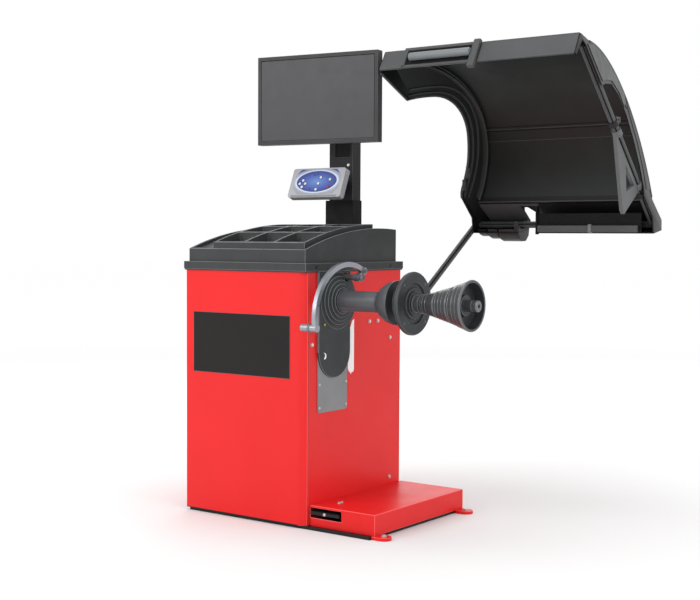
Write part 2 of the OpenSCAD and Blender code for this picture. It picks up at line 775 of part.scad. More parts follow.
module wheel_flange() color(dark) turned(spindle_y, spindle_z) polygon([
    [shaft_r, flange_x - 60], [journal_r + 18, flange_x - 60], [60, flange_x - 44], [66, flange_x - 22],
    [flange_r - 3, flange_x - 14], [flange_r, flange_x - 11], [flange_r, flange_x - 3],
    [flange_r - 3, flange_x],
    [64, flange_x], [62, flange_x - 5], [50, flange_x - 5], [48, flange_x],
    [boss_r, flange_x], [boss_r, flange_x + boss_h], [shaft_r, flange_x + boss_h]
]);

spring_x0 = flange_x + boss_h;
spring_pitch = 5;
collar_x = flange_x + 30;
cone_gap = 0.06;

// Coil spring ending in the collar that pushes on the cones
module cone_spring() color(steel) turned(spindle_y, spindle_z) polygon(concat(
    [[shaft_r + 1, spring_x0]],
    [for (i = [0:4]) let (x = spring_x0 + i * spring_pitch)
        each [[28, x + 0.3], [29, x + 2.5], [27, x + 4.8]]],
    [[shaft_r + 1, spring_x0 + 25]]
));

// Cone from x0 to x1, radius ra to rb, open for depth d at its wide end, with a hub of radius rh
module cone(x0, x1, ra, rb, d, wall, rh) {
    turned(spindle_y, spindle_z) polygon([
        [shaft_r + cone_gap, x0], [ra - 2, x0], [ra, x0 + 2], [rb, x1 - 5], [rb, x1 - 2], [rb - 2, x1],
        [rb - wall, x1], [rb - wall - 2, x1 - d], [rh, x1 - d], [shaft_r + cone_gap, x1 - d]
    ]);
}

small_x = [collar_x, collar_x + 62];
medium_x = [small_x[1] - 16, small_x[1] + 54];
large_x = [medium_x[1] - 16, medium_x[1] + 60];

module small_cone() color(steel) cone(small_x[0], small_x[1], 27, 42, 16.3, 5, 24);
module medium_cone() color(steel) {
    cone(small_x[1] + 2, medium_x[1], 44, 57, 16.3, 6, 24);
    turned(spindle_y, spindle_z) polygon([[shaft_r + cone_gap, medium_x[0]], [30, medium_x[0]],
        [30, small_x[1] + 2], [shaft_r + cone_gap, small_x[1] + 2]]);
}
module large_cone() color(steel) {
    cone(medium_x[1] + 2, large_x[1], 59, 78, 34, 8, 34);
    turned(spindle_y, spindle_z) polygon([[shaft_r + cone_gap, large_x[0]], [34, large_x[0]],
        [34, medium_x[1] + 2], [shaft_r + cone_gap, medium_x[1] + 2]]);
    turned(spindle_y, spindle_z) polygon([[shaft_r + cone_gap, large_x[1] - 34], [34, large_x[1] - 34],
        [32, large_x[1] - 22], [shaft_r + cone_gap, large_x[1] - 22]]);
}

module motor_pulley() color(steel) turned(motor_y, motor_z) polygon([
    [0, pulley_x0], [motor_pulley_r, pulley_x0], [motor_pulley_r, pulley_x1], [motor_pulley_r + 3, pulley_x1],
    [motor_pulley_r + 3, pulley_x1 + 2], [motor_shaft_r, pulley_x1 + 2], [motor_shaft_r, motor_x0 + 24],
    [0, motor_x0 + 24]
]);

/* ---- Distance gauge ---- */

rod_in = gauge_travel + 40;

module gauge_rod() color(light) {
    rod_x([in_x1 - rod_in, arm_x0 + arm_t + 6], rod_y, rod_z, rod_r);
}

eye_r = 12.5;
tip_r = 12.5;
arm_head = [arm_cy + arm_r * cos(arm_a0), arm_cz + arm_r * sin(arm_a0)];

module gauge_arm() color(light) difference() {
    union() {
        along_x([arm_x0, arm_x0 + arm_t]) {
            translate([arm_cy, arm_cz]) intersection() {
                difference() {
                    circle(arm_r + arm_w / 2, $fn = 120);
                    circle(arm_r - arm_w / 2, $fn = 120);
                }
                polygon([[0, 0], for (a = [arm_a0, 100, 145, arm_a1]) 2 * arm_r * [cos(a), sin(a)]]);
            }
            polygon([[rod_y - 13, rod_z], [rod_y + 9, rod_z - 10], arm_head + [6, -4], arm_head - [16, 4]]);
        }
        rod_x([arm_x0, arm_x0 + arm_t + 4], arm_head[0], arm_head[1], 11);
        rod_x([arm_x0 - 6, arm_x0 + arm_t], rod_y, rod_z, eye_r);
    }
    rod_x([arm_x0 - 20, arm_x0 + 60], rod_y, rod_z, rod_r + run_gap);
    rod_x([arm_x0 - cut, arm_x0 + arm_t + cut], tip_y, tip_z, tip_r);
}

tip_y = arm_cy + arm_r * cos(arm_a1);
tip_z = arm_cz + arm_r * sin(arm_a1) - 8;

module gauge_tip() color(light) difference() {
    rod_x([cab_x1 + 8, arm_x0 + arm_t + 2], tip_y, tip_z, tip_r);
    rod_x([cab_x1 + 4, cab_x1 + 18], tip_y, tip_z, 6);
}

/* ---- Hood ---- */

hinge_r = 26;
hood_slope = 47.3;
draft = 0.58;
right_draft = 0.25;

// Hood section in the YZ plane: front lip, round back sheet, flared bottom pan
hood_path = concat(
    [[lip_y - 34, lip_z - 62], [lip_y, lip_z]],
    arc([hood_cy, hood_cz], hood_r, 92, 2, 24),
    [[hood_cy + 572, hood_cz - 49], [hood_cy + 548, hood_cz - 84], [hood_cy + 480, hood_cz - 96]]
);

// Prism between two slanted end planes; d moves both planes inwards
module hood_prism(d) {
    translate([0, lip_y, lip_z]) rotate([hood_slope, 0, 0]) translate([0, 0, -1200]) linear_extrude(1600)
        polygon([[hood_left_x + d, -90], [hood_left_x + d, 0], [hood_left_x + d + draft * 330, 330],
            [hood_x1 - d - right_draft * 330, 330], [hood_x1 - d, 0], [hood_x1 - d, -90]]);
}

wall_left = concat(
    [[lip_y, lip_z], [lip_y - 34, lip_z - 72], [hood_cy + 38, hood_cz + 348]],
    [[hood_cy + 110, hood_cz + 366], [hood_cy + 180, hood_cz + 372], [hood_cy + 250, hood_cz + 345],
        [hood_cy + 315, hood_cz + 285], [hood_cy + 360, hood_cz + 200], [hood_cy + 385, hood_cz + 125],
        [hood_cy + 395, hood_cz + 30], [hood_cy + 470, hood_cz - 40], [hood_cy + 480, hood_cz - 96]],
    [[hood_cy + 548, hood_cz - 84], [hood_cy + 572, hood_cz - 49]],
    arc([hood_cy, hood_cz], hood_r, 2, 92, 24)
);

module hood_walls() {
    difference() {
        along_x([hood_left_x - 60, hood_x1 + 60]) polygon(wall_left);
        hood_prism(hood_t);
    }
}

// Gap in the pan that bares the frame tube
module pan_notch() {
    x = hood_left_x + 189;
    z = hood_cz - 34;
    translate([0, hood_cy + 600, 0]) rotate([90, 0, 0]) linear_extrude(170) polygon([
        [x, z - 80], [x + 70, z - 80], [x + 70, z], [x + 50, z + 8],
        [x + 23, z + 31], [x + 8, z + 31], [x, z + 19]
    ]);
}

// Front corner of the right wall, open so that the diagonal tube stands free
module right_corner() {
    along_x([hood_x1 - 60, hood_x1 + 60]) polygon([
        [lip_y - 27, lip_z - 66], [lip_y + 12, lip_z - 17], diag_b + [-12.5, -13], diag_b + [128, -148],
        [lip_y + 115, lip_z - 195], [lip_y - 55, lip_z - 85], [lip_y - 40, lip_z - 67]
    ]);
}

module hood_shell() color(black) difference() {
    intersection() {
        hood_prism(0);
        union() {
            along_x([hood_left_x - 60, hood_x1 + 60]) strip(hood_path, -hood_t);
            hood_walls();
        }
    }
    right_corner();
    rod_x([tube_x0, tube_x1], tube_y, tube_z, frame_r);
    frame_tube([tube_x1, tube_y, tube_z], [tube_x1, diag_b[0], diag_b[1]], frame_r);
    pan_notch();
}

diag_a = [tube_y, tube_z];
diag_b = [lip_y + 47, lip_z - 14];

module frame_tube(p, q, r) {
    d = q - p;
    translate(p) rotate([0, acos(d[2] / norm(d)), atan2(d[1], d[0])]) cylinder(r = r, h = norm(d));
}

module ball(p, r) translate(p) sphere(r);

weld = 1.5;

module hood_frame() color(black) {
    arm = [tube_x0, pivot_y, pivot_z];
    low = [tube_x0, tube_y, tube_z];
    right = [tube_x1, tube_y, tube_z];
    top = [tube_x1, diag_b[0], diag_b[1]];
    frame_tube(arm, low, frame_r);
    frame_tube(low, right, frame_r);
    frame_tube(right, top, frame_r);
    ball(low, frame_r + weld);
    ball(right, frame_r + weld);
    rod_x([tube_x0 - 14, tube_x0 + 14], pivot_y, pivot_z, frame_r + 8);
    rod_x([in_x0 + 240, tube_x0], pivot_y, pivot_z, frame_r - 1);
}

module hood_bracket() color(black) {
    for (x = [in_x0 + 250, in_x1 - 40]) difference() {
        union() {
            box([x, x + 24], [cab_y1, pivot_y], [pivot_z - hinge_r, pivot_z + hinge_r]);
            rod_x([x, x + 24], pivot_y, pivot_z, hinge_r);
        }
        rod_x([x - cut, x + 25], pivot_y, pivot_z, frame_r - 1 + run_gap);
        box([x - cut, x + 25], [cab_y1 - 40, cab_y1], [pivot_z - 60, pivot_z + 60]);
    }
    box([in_x0 + 230, in_x1 - 6], [cab_y1, cab_y1 + 4], [pivot_z - 50, pivot_z + 50]);
}

function on_diag(t) = diag_a + t * (diag_b - diag_a);

module diag_sleeve(t, l, ro, ri) {
    u = (diag_b - diag_a) / norm(diag_b - diag_a);
    p = on_diag(t) - l / 2 * u;
    q = on_diag(t) + l / 2 * u;
    difference() {
        frame_tube([tube_x1, p[0], p[1]], [tube_x1, q[0], q[1]], ro);
        frame_tube([tube_x1, (p - u)[0], (p - u)[1]], [tube_x1, (q + u)[0], (q + u)[1]], ri);
    }
}

hinge_t = [0.235, 0.53];

module hood_clamps() color(black) {
    for (t = [hinge_t[0] - 0.05, hinge_t[1] + 0.05]) diag_sleeve(t, 20, frame_r + 4, frame_r);
}

plate_off = 150;

// Triangular plate hanging from the diagonal tube, in the tube's own plane
module width_gauge() color(light) {
    for (t = hinge_t) diag_sleeve(t, 24, frame_r + 4, frame_r + run_gap);
    u = (diag_b - diag_a) / norm(diag_b - diag_a);
    n = [-u[1], u[0]];
    a = on_diag(hinge_t[0]);
    b = on_diag(hinge_t[1]);
    tip = (a * 0.9 + b * 0.1) + plate_off * n;
    inner = [
        a * 0.72 + b * 0.1 + tip * 0.18,
        a * 0.3 + b * 0.5 + tip * 0.2,
        a * 0.25 + b * 0.18 + tip * 0.57
    ];
    edge = frame_r + 3;
    translate([tube_x1 - width_plate_t / 2, 0, 0]) along_x([0, width_plate_t]) difference() {
        polygon([a - 12 * u + edge * n, b + 12 * u + edge * n, tip + 8 * u, tip - 8 * u]);
        polygon([for (p = inner) p + 2 * n]);
    }
}

/* ---- Brake ---- */

module brake_pedal() color(black) {
    pad_x0 = slot_x[0] + 4;
    pad_x1 = slot_x[1] - 4;
    box([pad_x0, pad_x1], [platform_y0 - 6, pedal_y - 8], [pedal_z + 2, pedal_z + 12]);
    box([pad_x0 + 40, pad_x0 + 70], [pedal_y - 20, pedal_y], [pedal_z - 5, pedal_z + 10]);
    rod_x([brake_x - 12, pad_x1 - 10], pedal_y, pedal_z, 10);
    box([brake_x - 6, brake_x + 6], [pedal_y, spindle_y + 8], [pedal_z - 6, pedal_z + 6]);
}

shoe_gap = 10;
rod_top = spindle_z - drum_r - shoe_gap;

module brake_rod() color(steel) {
    translate([brake_x, spindle_y, pedal_z + 6.3]) cylinder(r = 5, h = rod_top - 12 - pedal_z - 6.3);
    difference() {
        box([brake_x - 8, brake_x + 8], [spindle_y - 22, spindle_y + 22], [rod_top - 12, rod_top + 8]);
        rod_x([brake_x - 9, brake_x + 9], spindle_y, spindle_z - shoe_gap, drum_r);
    }
}

base_plate();
anchor_ears();
platform_cover();
front_panel();
right_panel();
left_panel();
back_panel();
weight_tray();
gauge_plate();
spindle_dome();
slot_cover();
panel_screws();
storage_pegs();
spindle_bracket();
spindle_housing();
force_sensors();
spindle_bearings();
drive_motor();
drive_belt();
circuit_board();
mains_inlet();
gauge_guide();
post_sleeve();
post();
monitor_bracket();
keypad_bracket();
keypad_housing();
keypad_overlay();
hood_bracket();
spindle_shaft();
spindle_pulley();
encoder_disc();
hub_cup();
wheel_flange();
cone_spring();
motor_pulley();
small_cone();
medium_cone();
large_cone();
gauge_rod();
gauge_arm();
gauge_tip();
hood_frame();
hood_shell();
hood_clamps();
width_gauge();
brake_pedal();
brake_rod();
monitor_housing();
monitor_screen();
power_switch();
key_cap(0, light);  // key_up
key_cap(1, light);  // key_down
key_cap(2, light);  // key_left
key_cap(3, light);  // key_right
key_cap(4, light);  // key_menu
key_cap(5, light);  // key_fine
key_cap(6, light);  // key_print
key_cap(7, "lightgreen");  // key_start
key_cap(8, "crimson");  // key_stop
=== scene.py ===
"""Visual model of a wheel balancer machine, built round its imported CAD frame."""

import logging
import math
from collections.abc import Iterable, Sequence
from dataclasses import dataclass, field
from enum import Enum

import bmesh
import bpy
from mathutils import Matrix, Vector


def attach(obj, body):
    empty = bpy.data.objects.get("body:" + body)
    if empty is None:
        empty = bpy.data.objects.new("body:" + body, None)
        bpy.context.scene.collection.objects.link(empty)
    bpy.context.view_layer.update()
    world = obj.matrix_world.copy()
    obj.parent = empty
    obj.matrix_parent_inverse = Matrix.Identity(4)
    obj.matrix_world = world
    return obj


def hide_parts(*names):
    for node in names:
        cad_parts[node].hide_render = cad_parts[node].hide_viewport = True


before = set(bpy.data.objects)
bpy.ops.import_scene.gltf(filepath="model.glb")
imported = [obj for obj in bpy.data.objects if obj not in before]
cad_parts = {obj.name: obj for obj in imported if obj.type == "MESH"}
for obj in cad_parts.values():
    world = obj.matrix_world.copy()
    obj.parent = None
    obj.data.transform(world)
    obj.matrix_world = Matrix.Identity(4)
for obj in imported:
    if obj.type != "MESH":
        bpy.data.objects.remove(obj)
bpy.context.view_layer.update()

LOG = logging.getLogger("wheel_balancer")
MM = 0.001
STILL = Matrix.Identity(4)
NOISE_LOW, NOISE_HIGH = 0.3, 0.7

Point = tuple[float, float, float]
Flat = tuple[float, float]
Colour = tuple[float, float, float]
Socket = bpy.types.NodeSocket


class Body(Enum):
    """The moving bodies of the machine."""

    CABINET = "cabinet"
    SPINDLE = "spindle"
    MOTOR = "motor_rotor"
    SMALL_CONE = "small_cone"
    MEDIUM_CONE = "medium_cone"
    LARGE_CONE = "large_cone"
    GAUGE_ROD = "gauge_rod"
    GAUGE_ARM = "gauge_arm"
    HOOD = "hood"
    WIDTH_GAUGE = "width_gauge"
    PEDAL = "brake_pedal"
    BRAKE_ROD = "brake_rod"
    MONITOR = "monitor"
    SWITCH = "power_switch"
    KEY_UP = "key_up"
    KEY_DOWN = "key_down"
    KEY_LEFT = "key_left"
    KEY_RIGHT = "key_right"
    KEY_MENU = "key_menu"
    KEY_FINE = "key_fine"
    KEY_PRINT = "key_print"
    KEY_START = "key_start"
    KEY_STOP = "key_stop"


def srgb(red: int, green: int, blue: int) -> Colour:
    """Scene colour of a paint-chart colour.

    Args:
        red: Red, 0 to 255.
        green: Green, 0 to 255.
        blue: Blue, 0 to 255.

    Returns:
        The colour in linear light.
    """
    return tuple(((c / 255 + 0.055) / 1.055) ** 2.4 if c > 10 else c / 3294 for c in (red, green, blue))


class Nodes:
    """A material's node tree, with short calls for the nodes used here."""

    def __init__(self, name: str) -> None:
        """Start an empty tree with one Principled shader.

        Args:
            name: Name of the material.
        """
        self.material = bpy.data.materials.new(name)
        self.material.use_nodes = True
        self.tree = self.material.node_tree
        self.tree.nodes.clear()
        self.shader = self.add("ShaderNodeBsdfPrincipled")
        output = self.add("ShaderNodeOutputMaterial")
        self.link(self.shader.outputs["BSDF"], output.inputs["Surface"])
        self.place = self.add("ShaderNodeTexCoord").outputs["Object"]

    def add(self, kind: str) -> bpy.types.Node:
        """Add a node of the given kind and return it."""
        return self.tree.nodes.new(kind)

    def link(self, source: Socket, target: Socket) -> None:
        """Join two sockets."""
        self.tree.links.new(source, target)

    def mapped(
        self, scale: Point = (1, 1, 1), move: Point = (0, 0, 0), turn: Point = (0, 0, 0), kind: str = "POINT"
    ) -> Socket:
        """Object coordinates through a Mapping node.

        Args:
            scale: Scale of the pattern along each axis.
            move: Offset in metres.
            turn: Rotation in radians.
            kind: Mapping type.

        Returns:
            The mapped coordinates.
        """
        node = self.add("ShaderNodeMapping")
        node.vector_type = kind
        node.inputs["Scale"].default_value = scale
        node.inputs["Location"].default_value = move
        node.inputs["Rotation"].default_value = turn
        self.link(self.place, node.inputs["Vector"])
        return node.outputs["Vector"]

    def noise(self, place: Socket, scale: float, detail: float = 4.0) -> Socket:
        """Noise value at a place.

        Args:
            place: Coordinates.
            scale: Cells per metre.
            detail: Octaves.

        Returns:
            The noise value.
        """
        node = self.add("ShaderNodeTexNoise")
        node.inputs["Scale"].default_value = scale
        node.inputs["Detail"].default_value = detail
        self.link(place, node.inputs["Vector"])
        return node.outputs["Fac"]

    def calc(self, kind: str, first: Socket, second: Socket | float) -> Socket:
        """One Math node.

        Args:
            kind: Operation name.
            first: First value.
            second: Second value or number.

        Returns:
            The result.
        """
        node = self.add("ShaderNodeMath")
        node.operation = kind
        self.link(first, node.inputs[0])
        if isinstance(second, Socket):
            self.link(second, node.inputs[1])
        else:
            node.inputs[1].default_value = second
        return node.outputs[0]

    def spread(self, value: Socket, low: float, high: float) -> Socket:
        """Stretch a noise value over a range.

        Args:
            value: Value, mostly 0.3 to 0.7.
            low: Result at the low end.
            high: Result at the high end.

        Returns:
            The stretched value.
        """
        node = self.add("ShaderNodeMapRange")
        node.inputs["From Min"].default_value = NOISE_LOW
        node.inputs["From Max"].default_value = NOISE_HIGH
        node.inputs["To Min"].default_value = low
        node.inputs["To Max"].default_value = high
        self.link(value, node.inputs["Value"])
        return node.outputs["Result"]

    def ramp(self, value: Socket, stops: Sequence[tuple[float, Colour]]) -> Socket:
        """Colour ramp over a value.

        Args:
            value: Value from 0 to 1.
            stops: Position and colour of each stop, in order.

        Returns:
            The colour.
        """
        node = self.add("ShaderNodeValToRGB")
        band = node.color_ramp
        while len(band.elements) < len(stops):
            band.elements.new(0.5)
        for element, (where, colour) in zip(band.elements, stops):
            element.position = where
            element.color = (*colour, 1.0)
        self.link(value, node.inputs["Fac"])
        return node.outputs["Color"]

    def bump(self, height: Socket, strength: float, depth: float) -> None:
        """Put a bump on the shader.

        Args:
            height: Height pattern.
            strength: Strength, 0 to 1.
            depth: Depth in metres.
        """
        node = self.add("ShaderNodeBump")
        node.inputs["Strength"].default_value = strength
        node.inputs["Distance"].default_value = depth
        self.link(height, node.inputs["Height"])
        self.link(node.outputs["Normal"], self.shader.inputs["Normal"])


def shade(colour: Colour, factor: float) -> Colour:
    """A colour made lighter or darker by a factor."""
    return tuple(min(1.0, c * factor) for c in colour)


@dataclass(frozen=True)
class Finish:
    """A surface with slight colour changes, uneven gloss and a fine grain."""

    name: str
    colour: Colour
    roughness: float = 0.5
    metallic: float = 0.0
    coat: float = 0.0
    specular: float = 0.5
    mottle: float = 0.1
    mottle_scale: float = 9.0
    grain: float = 0.15
    grain_scale: float = 900.0
    grain_depth: float = 0.0003
    stretch: Point = (1.0, 1.0, 1.0)

    def material(self) -> bpy.types.Material:
        """The finish's material, made once."""
        made = bpy.data.materials.get(self.name)
        return made or self.build()

    def height(self, nodes: Nodes) -> Socket:
        """Height pattern of the surface.

        Args:
            nodes: The material's nodes.

        Returns:
            The height.
        """
        return nodes.noise(nodes.mapped(self.stretch), self.grain_scale, 3.0)

    def colouring(self, nodes: Nodes) -> Socket:
        """Colour pattern of the surface.

        Args:
            nodes: The material's nodes.

        Returns:
            The colour.
        """
        cloud = nodes.noise(nodes.mapped(self.stretch), self.mottle_scale)
        stops = [
            (NOISE_LOW, shade(self.colour, 1 - self.mottle)),
            (NOISE_HIGH, shade(self.colour, 1 + self.mottle)),
        ]
        return nodes.ramp(cloud, stops)

    def build(self) -> bpy.types.Material:
        """Make the material.

        Returns:
            The new material.
        """
        nodes = Nodes(self.name)
        sockets = nodes.shader.inputs
        sockets["Metallic"].default_value = self.metallic
        sockets["Coat Weight"].default_value = self.coat
        sockets["Specular IOR Level"].default_value = self.specular
        sockets["Coat Roughness"].default_value = 0.12
        nodes.link(self.colouring(nodes), sockets["Base Color"])
        gloss = nodes.noise(nodes.mapped(self.stretch), 3.1 * self.mottle_scale)
        swing = 0.12
        uneven = nodes.spread(gloss, self.roughness * (1 - swing), self.roughness * (1 + swing))
        nodes.link(uneven, sockets["Roughness"])
        nodes.bump(self.height(nodes), self.grain, self.grain_depth)
        return nodes.material


@dataclass(frozen=True)
class TurnedFinish(Finish):
    """Metal turned on a lathe, with fine rings about an axis along X."""

    centre: Flat = (-0.120, 0.714)
    pitch: float = 0.0008

    def height(self, nodes: Nodes) -> Socket:
        """Rings about the axis.

        Args:
            nodes: The material's nodes.

        Returns:
            The height.
        """
        apart = nodes.add("ShaderNodeSeparateXYZ")
        nodes.link(nodes.mapped(move=(0, -self.centre[0], -self.centre[1])), apart.inputs[0])
        across = nodes.calc("MULTIPLY", apart.outputs["Y"], apart.outputs["Y"])
        up = nodes.calc("MULTIPLY", apart.outputs["Z"], apart.outputs["Z"])
        radius = nodes.calc("SQRT", nodes.calc("ADD", across, up), 0.0)
        run = nodes.calc("ADD", radius, apart.outputs["X"])
        rings = nodes.calc("SINE", nodes.calc("MULTIPLY", run, 2 * math.pi / self.pitch), 0.0)
        rough = nodes.noise(nodes.place, self.grain_scale, 3.0)
        return nodes.calc("ADD", nodes.calc("MULTIPLY", rings, 0.5), rough)


@dataclass(frozen=True)
class FilmFinish(Finish):
    """Printed keypad film: a blue oval with a pale rim on silver, dark blue in the upper corners."""

    origin: Point = (0.0, 0.0, 0.0)
    tilt: float = 0.0
    half: Flat = (0.093, 0.0425)

    def colouring(self, nodes: Nodes) -> Socket:
        """The printed oval.

        Args:
            nodes: The material's nodes.

        Returns:
            The colour.
        """
        local = nodes.mapped(move=self.origin, turn=(self.tilt, 0, 0), kind="TEXTURE")
        apart = nodes.add("ShaderNodeSeparateXYZ")
        nodes.link(local, apart.inputs[0])
        across = nodes.calc("DIVIDE", apart.outputs["X"], self.half[0])
        up = nodes.calc("DIVIDE", apart.outputs["Y"], self.half[1])
        square = nodes.calc("ADD", nodes.calc("MULTIPLY", across, across), nodes.calc("MULTIPLY", up, up))
        radius = nodes.calc("SQRT", square, 0.0)
        rings = nodes.ramp(
            nodes.calc("MULTIPLY", radius, 0.6),
            [
                (0.0, srgb(92, 128, 188)), (0.36, srgb(46, 74, 156)), (0.545, srgb(26, 40, 112)),
                (0.556, srgb(206, 218, 236)), (0.60, srgb(170, 184, 208)), (0.64, srgb(146, 148, 156)),
            ],
        )
        outside = nodes.calc("GREATER_THAN", radius, 1.17)
        corner = nodes.calc("GREATER_THAN", nodes.calc("MULTIPLY", up, outside), 0.52)
        mix = nodes.add("ShaderNodeMix")
        mix.data_type = "RGBA"
        nodes.link(corner, mix.inputs["Factor"])
        nodes.link(rings, mix.inputs[6])
        mix.inputs[7].default_value = (*srgb(58, 72, 150), 1.0)
        return mix.outputs[2]


RED_PAINT = Finish("red_powder_coat", srgb(220, 18, 20), 0.42, coat=0.08, specular=0.3, mottle=0.04,
                   mottle_scale=3.0, grain=0.12, grain_scale=260.0)
# Lighter red on the cabinet skins' rounded edges: a painted highlight.
RED_EDGE_HIGHLIGHT = Finish("red_painted_edge_highlight", srgb(240, 92, 90), 0.34, coat=0.15, specular=0.4, mottle=0.06,
                  grain=0.1, grain_scale=260.0)
TRAY_PLASTIC = Finish("tray_grey_plastic", srgb(58, 59, 60), 0.6, specular=0.22, mottle=0.08, grain=0.35,
                      grain_scale=1300.0)
# Lighter grey on the tray's rounded edges: a painted highlight.
TRAY_EDGE_HIGHLIGHT = Finish("tray_painted_edge_highlight", srgb(128, 129, 130), 0.5, specular=0.3, mottle=0.1, grain=0.3,
                   grain_scale=1300.0)
BLACK_PAINT = Finish("black_paint", srgb(20, 20, 21), 0.42, specular=0.3, mottle=0.14, grain=0.2,
                     grain_scale=700.0)
# Dark grey: a painted highlight on the rounded edges of the post and the monitor case; the badge rim and the
# keypad lip lines are drawn in it too.
DARK_GREY_AND_EDGE_HIGHLIGHT = Finish("dark_grey_paint_and_edge_highlight", srgb(74, 75, 76), 0.4, specular=0.3, mottle=0.12, grain=0.2,
                    grain_scale=700.0)
POST_PAINT = Finish("post_grey_paint", srgb(40, 39, 42), 0.48, specular=0.25, mottle=0.07, grain=0.25,
                    grain_scale=800.0)
SLEEVE_PAINT = Finish("sleeve_black_paint", srgb(17, 17, 18), 0.6, specular=0.2, mottle=0.1, grain=0.25,
                      grain_scale=800.0)
GAUGE_PLASTIC = Finish("gauge_dark_plastic", srgb(50, 54, 56), 0.52, specular=0.25, mottle=0.08,
                       grain=0.3, grain_scale=1200.0)
# Pale grey: a painted highlight on the rounded edges of the gauge plate and the spindle shroud, and on the
# plate's front edge strip; the plate's ribs, the hood's grab bar and the bar cap are drawn in it too.
PALE_GREY_AND_EDGE_HIGHLIGHT = Finish("pale_grey_plastic_and_edge_highlight", srgb(112, 116, 118), 0.42, specular=0.35, mottle=0.08,
                    grain=0.2, grain_scale=1200.0)
HOOD_PLASTIC = Finish("hood_black_plastic", srgb(17, 18, 18), 0.38, specular=0.25, mottle=0.16,
                      mottle_scale=4.0, grain=0.35, grain_scale=500.0)
# Lighter grey: a painted highlight on the hood shell's rounded edges; the hood's rolls, beads, seams, rivets,
# wall ribs and ledge are drawn in it too.
HOOD_TRIM_AND_EDGE_HIGHLIGHT = Finish("hood_trim_grey_and_edge_highlight", srgb(62, 64, 64), 0.42, specular=0.3, mottle=0.12, grain=0.25,
                   grain_scale=500.0)
HOOD_FILLET = Finish("hood_moulded_fillet", srgb(44, 46, 46), 0.4, specular=0.3, mottle=0.14, grain=0.25,
                     grain_scale=500.0)
HOOD_INNER = Finish("hood_back_sheet", srgb(22, 28, 26), 0.44, specular=0.32, mottle=0.34,
                    mottle_scale=3.5, grain=0.4, grain_scale=320.0)
HOOD_GREY = Finish("hood_grey_plastic", srgb(70, 71, 72), 0.45, specular=0.3, mottle=0.1, grain=0.25,
                   grain_scale=600.0)
SCREEN_GLASS = Finish("screen_glass", srgb(68, 68, 70), 0.36, specular=0.2, mottle=0.04, grain=0.05,
                      grain_scale=1500.0)
MONITOR_PLASTIC = Finish("monitor_plastic", srgb(56, 56, 57), 0.52, specular=0.22, mottle=0.06,
                         grain=0.25, grain_scale=1500.0)
SILVER_PLASTIC = Finish("keypad_silver_plastic", srgb(158, 158, 162), 0.4, metallic=0.2, mottle=0.05,
                        grain=0.1)
KEY_PLASTIC = Finish("key_light_plastic", srgb(200, 205, 218), 0.35, mottle=0.05, grain=0.05)
KEY_GREEN = Finish("key_green_plastic", srgb(176, 208, 188), 0.35, mottle=0.05, grain=0.05)
KEY_RED = Finish("key_red_plastic", srgb(140, 34, 88), 0.35, mottle=0.05, grain=0.05)
LAMP_PLASTIC = Finish("lamp_dark_plastic", srgb(38, 46, 84), 0.2, mottle=0.05, grain=0.02)
BADGE_FILM = Finish("badge_black_film", srgb(18, 12, 12), 0.36, specular=0.25, mottle=0.14, grain=0.06)
LABEL_PAPER = Finish("label_white_paper", srgb(246, 246, 246), 0.7, mottle=0.03, grain=0.1)
COVER_PAINT = Finish("cover_grey_paint", srgb(128, 131, 133), 0.5, specular=0.35, mottle=0.07, grain=0.15)
GAUGE_SHEET = Finish("width_gauge_paint", srgb(92, 93, 94), 0.5, specular=0.3, mottle=0.09, grain=0.15)
ZINC = Finish("zinc_screws", srgb(206, 200, 196), 0.3, metallic=0.85, mottle=0.1, mottle_scale=80.0,
              grain=0.2)
BRASS = Finish("brass_pin", srgb(190, 158, 80), 0.3, metallic=0.9, mottle=0.1, mottle_scale=60.0,
               grain=0.1)
ALUMINIUM = Finish("satin_aluminium", srgb(150, 153, 160), 0.3, metallic=0.7, mottle=0.1,
                   mottle_scale=14.0, grain=0.2, stretch=(1.0, 0.25, 1.0))
RUBBER = Finish("black_rubber", srgb(14, 14, 15), 0.7, specular=0.2, mottle=0.2, mottle_scale=40.0,
                grain=0.4)
BOARD = Finish("circuit_board_green", srgb(22, 96, 52), 0.4, mottle=0.25, mottle_scale=60.0, grain=0.2)
GALVANISED = Finish("galvanised_sheet", srgb(132, 136, 140), 0.42, metallic=0.7, mottle=0.18,
                    mottle_scale=35.0)
TUBE_STEEL = TurnedFinish("spindle_tube_grey", srgb(88, 91, 95), 0.42, metallic=0.3, specular=0.35,
                          mottle=0.06, pitch=0.0015)
HUB_STEEL = TurnedFinish("hub_cup_grey", srgb(78, 82, 86), 0.4, metallic=0.25, specular=0.35, mottle=0.06,
                         pitch=0.002)
FLANGE_IRON = TurnedFinish("flange_dark_iron", srgb(52, 54, 56), 0.46, metallic=0.25, specular=0.3,
                           mottle=0.08, pitch=0.0013)
CONE_STEEL = TurnedFinish("cone_dark_steel", srgb(64, 66, 68), 0.38, metallic=0.35, specular=0.35,
                          mottle=0.12, pitch=0.0011)
# Lighter, more metallic copy of the cone steel: a painted highlight on the cones' rounded rims; the cone
# ridges and the gauge arm's collars are drawn in it too.
BRIGHT_STEEL_AND_RIM_HIGHLIGHT = TurnedFinish("bright_steel_and_cone_rim_highlight", srgb(112, 114, 117), 0.34, metallic=0.45, mottle=0.1,
                           pitch=0.0011)
SHAFT_STEEL = TurnedFinish("shaft_steel", srgb(112, 114, 118), 0.3, metallic=0.6, mottle=0.1, pitch=0.001)
MOTOR_STEEL = TurnedFinish("motor_parts", srgb(110, 112, 116), 0.4, metallic=0.6, centre=(0.060, 0.520))

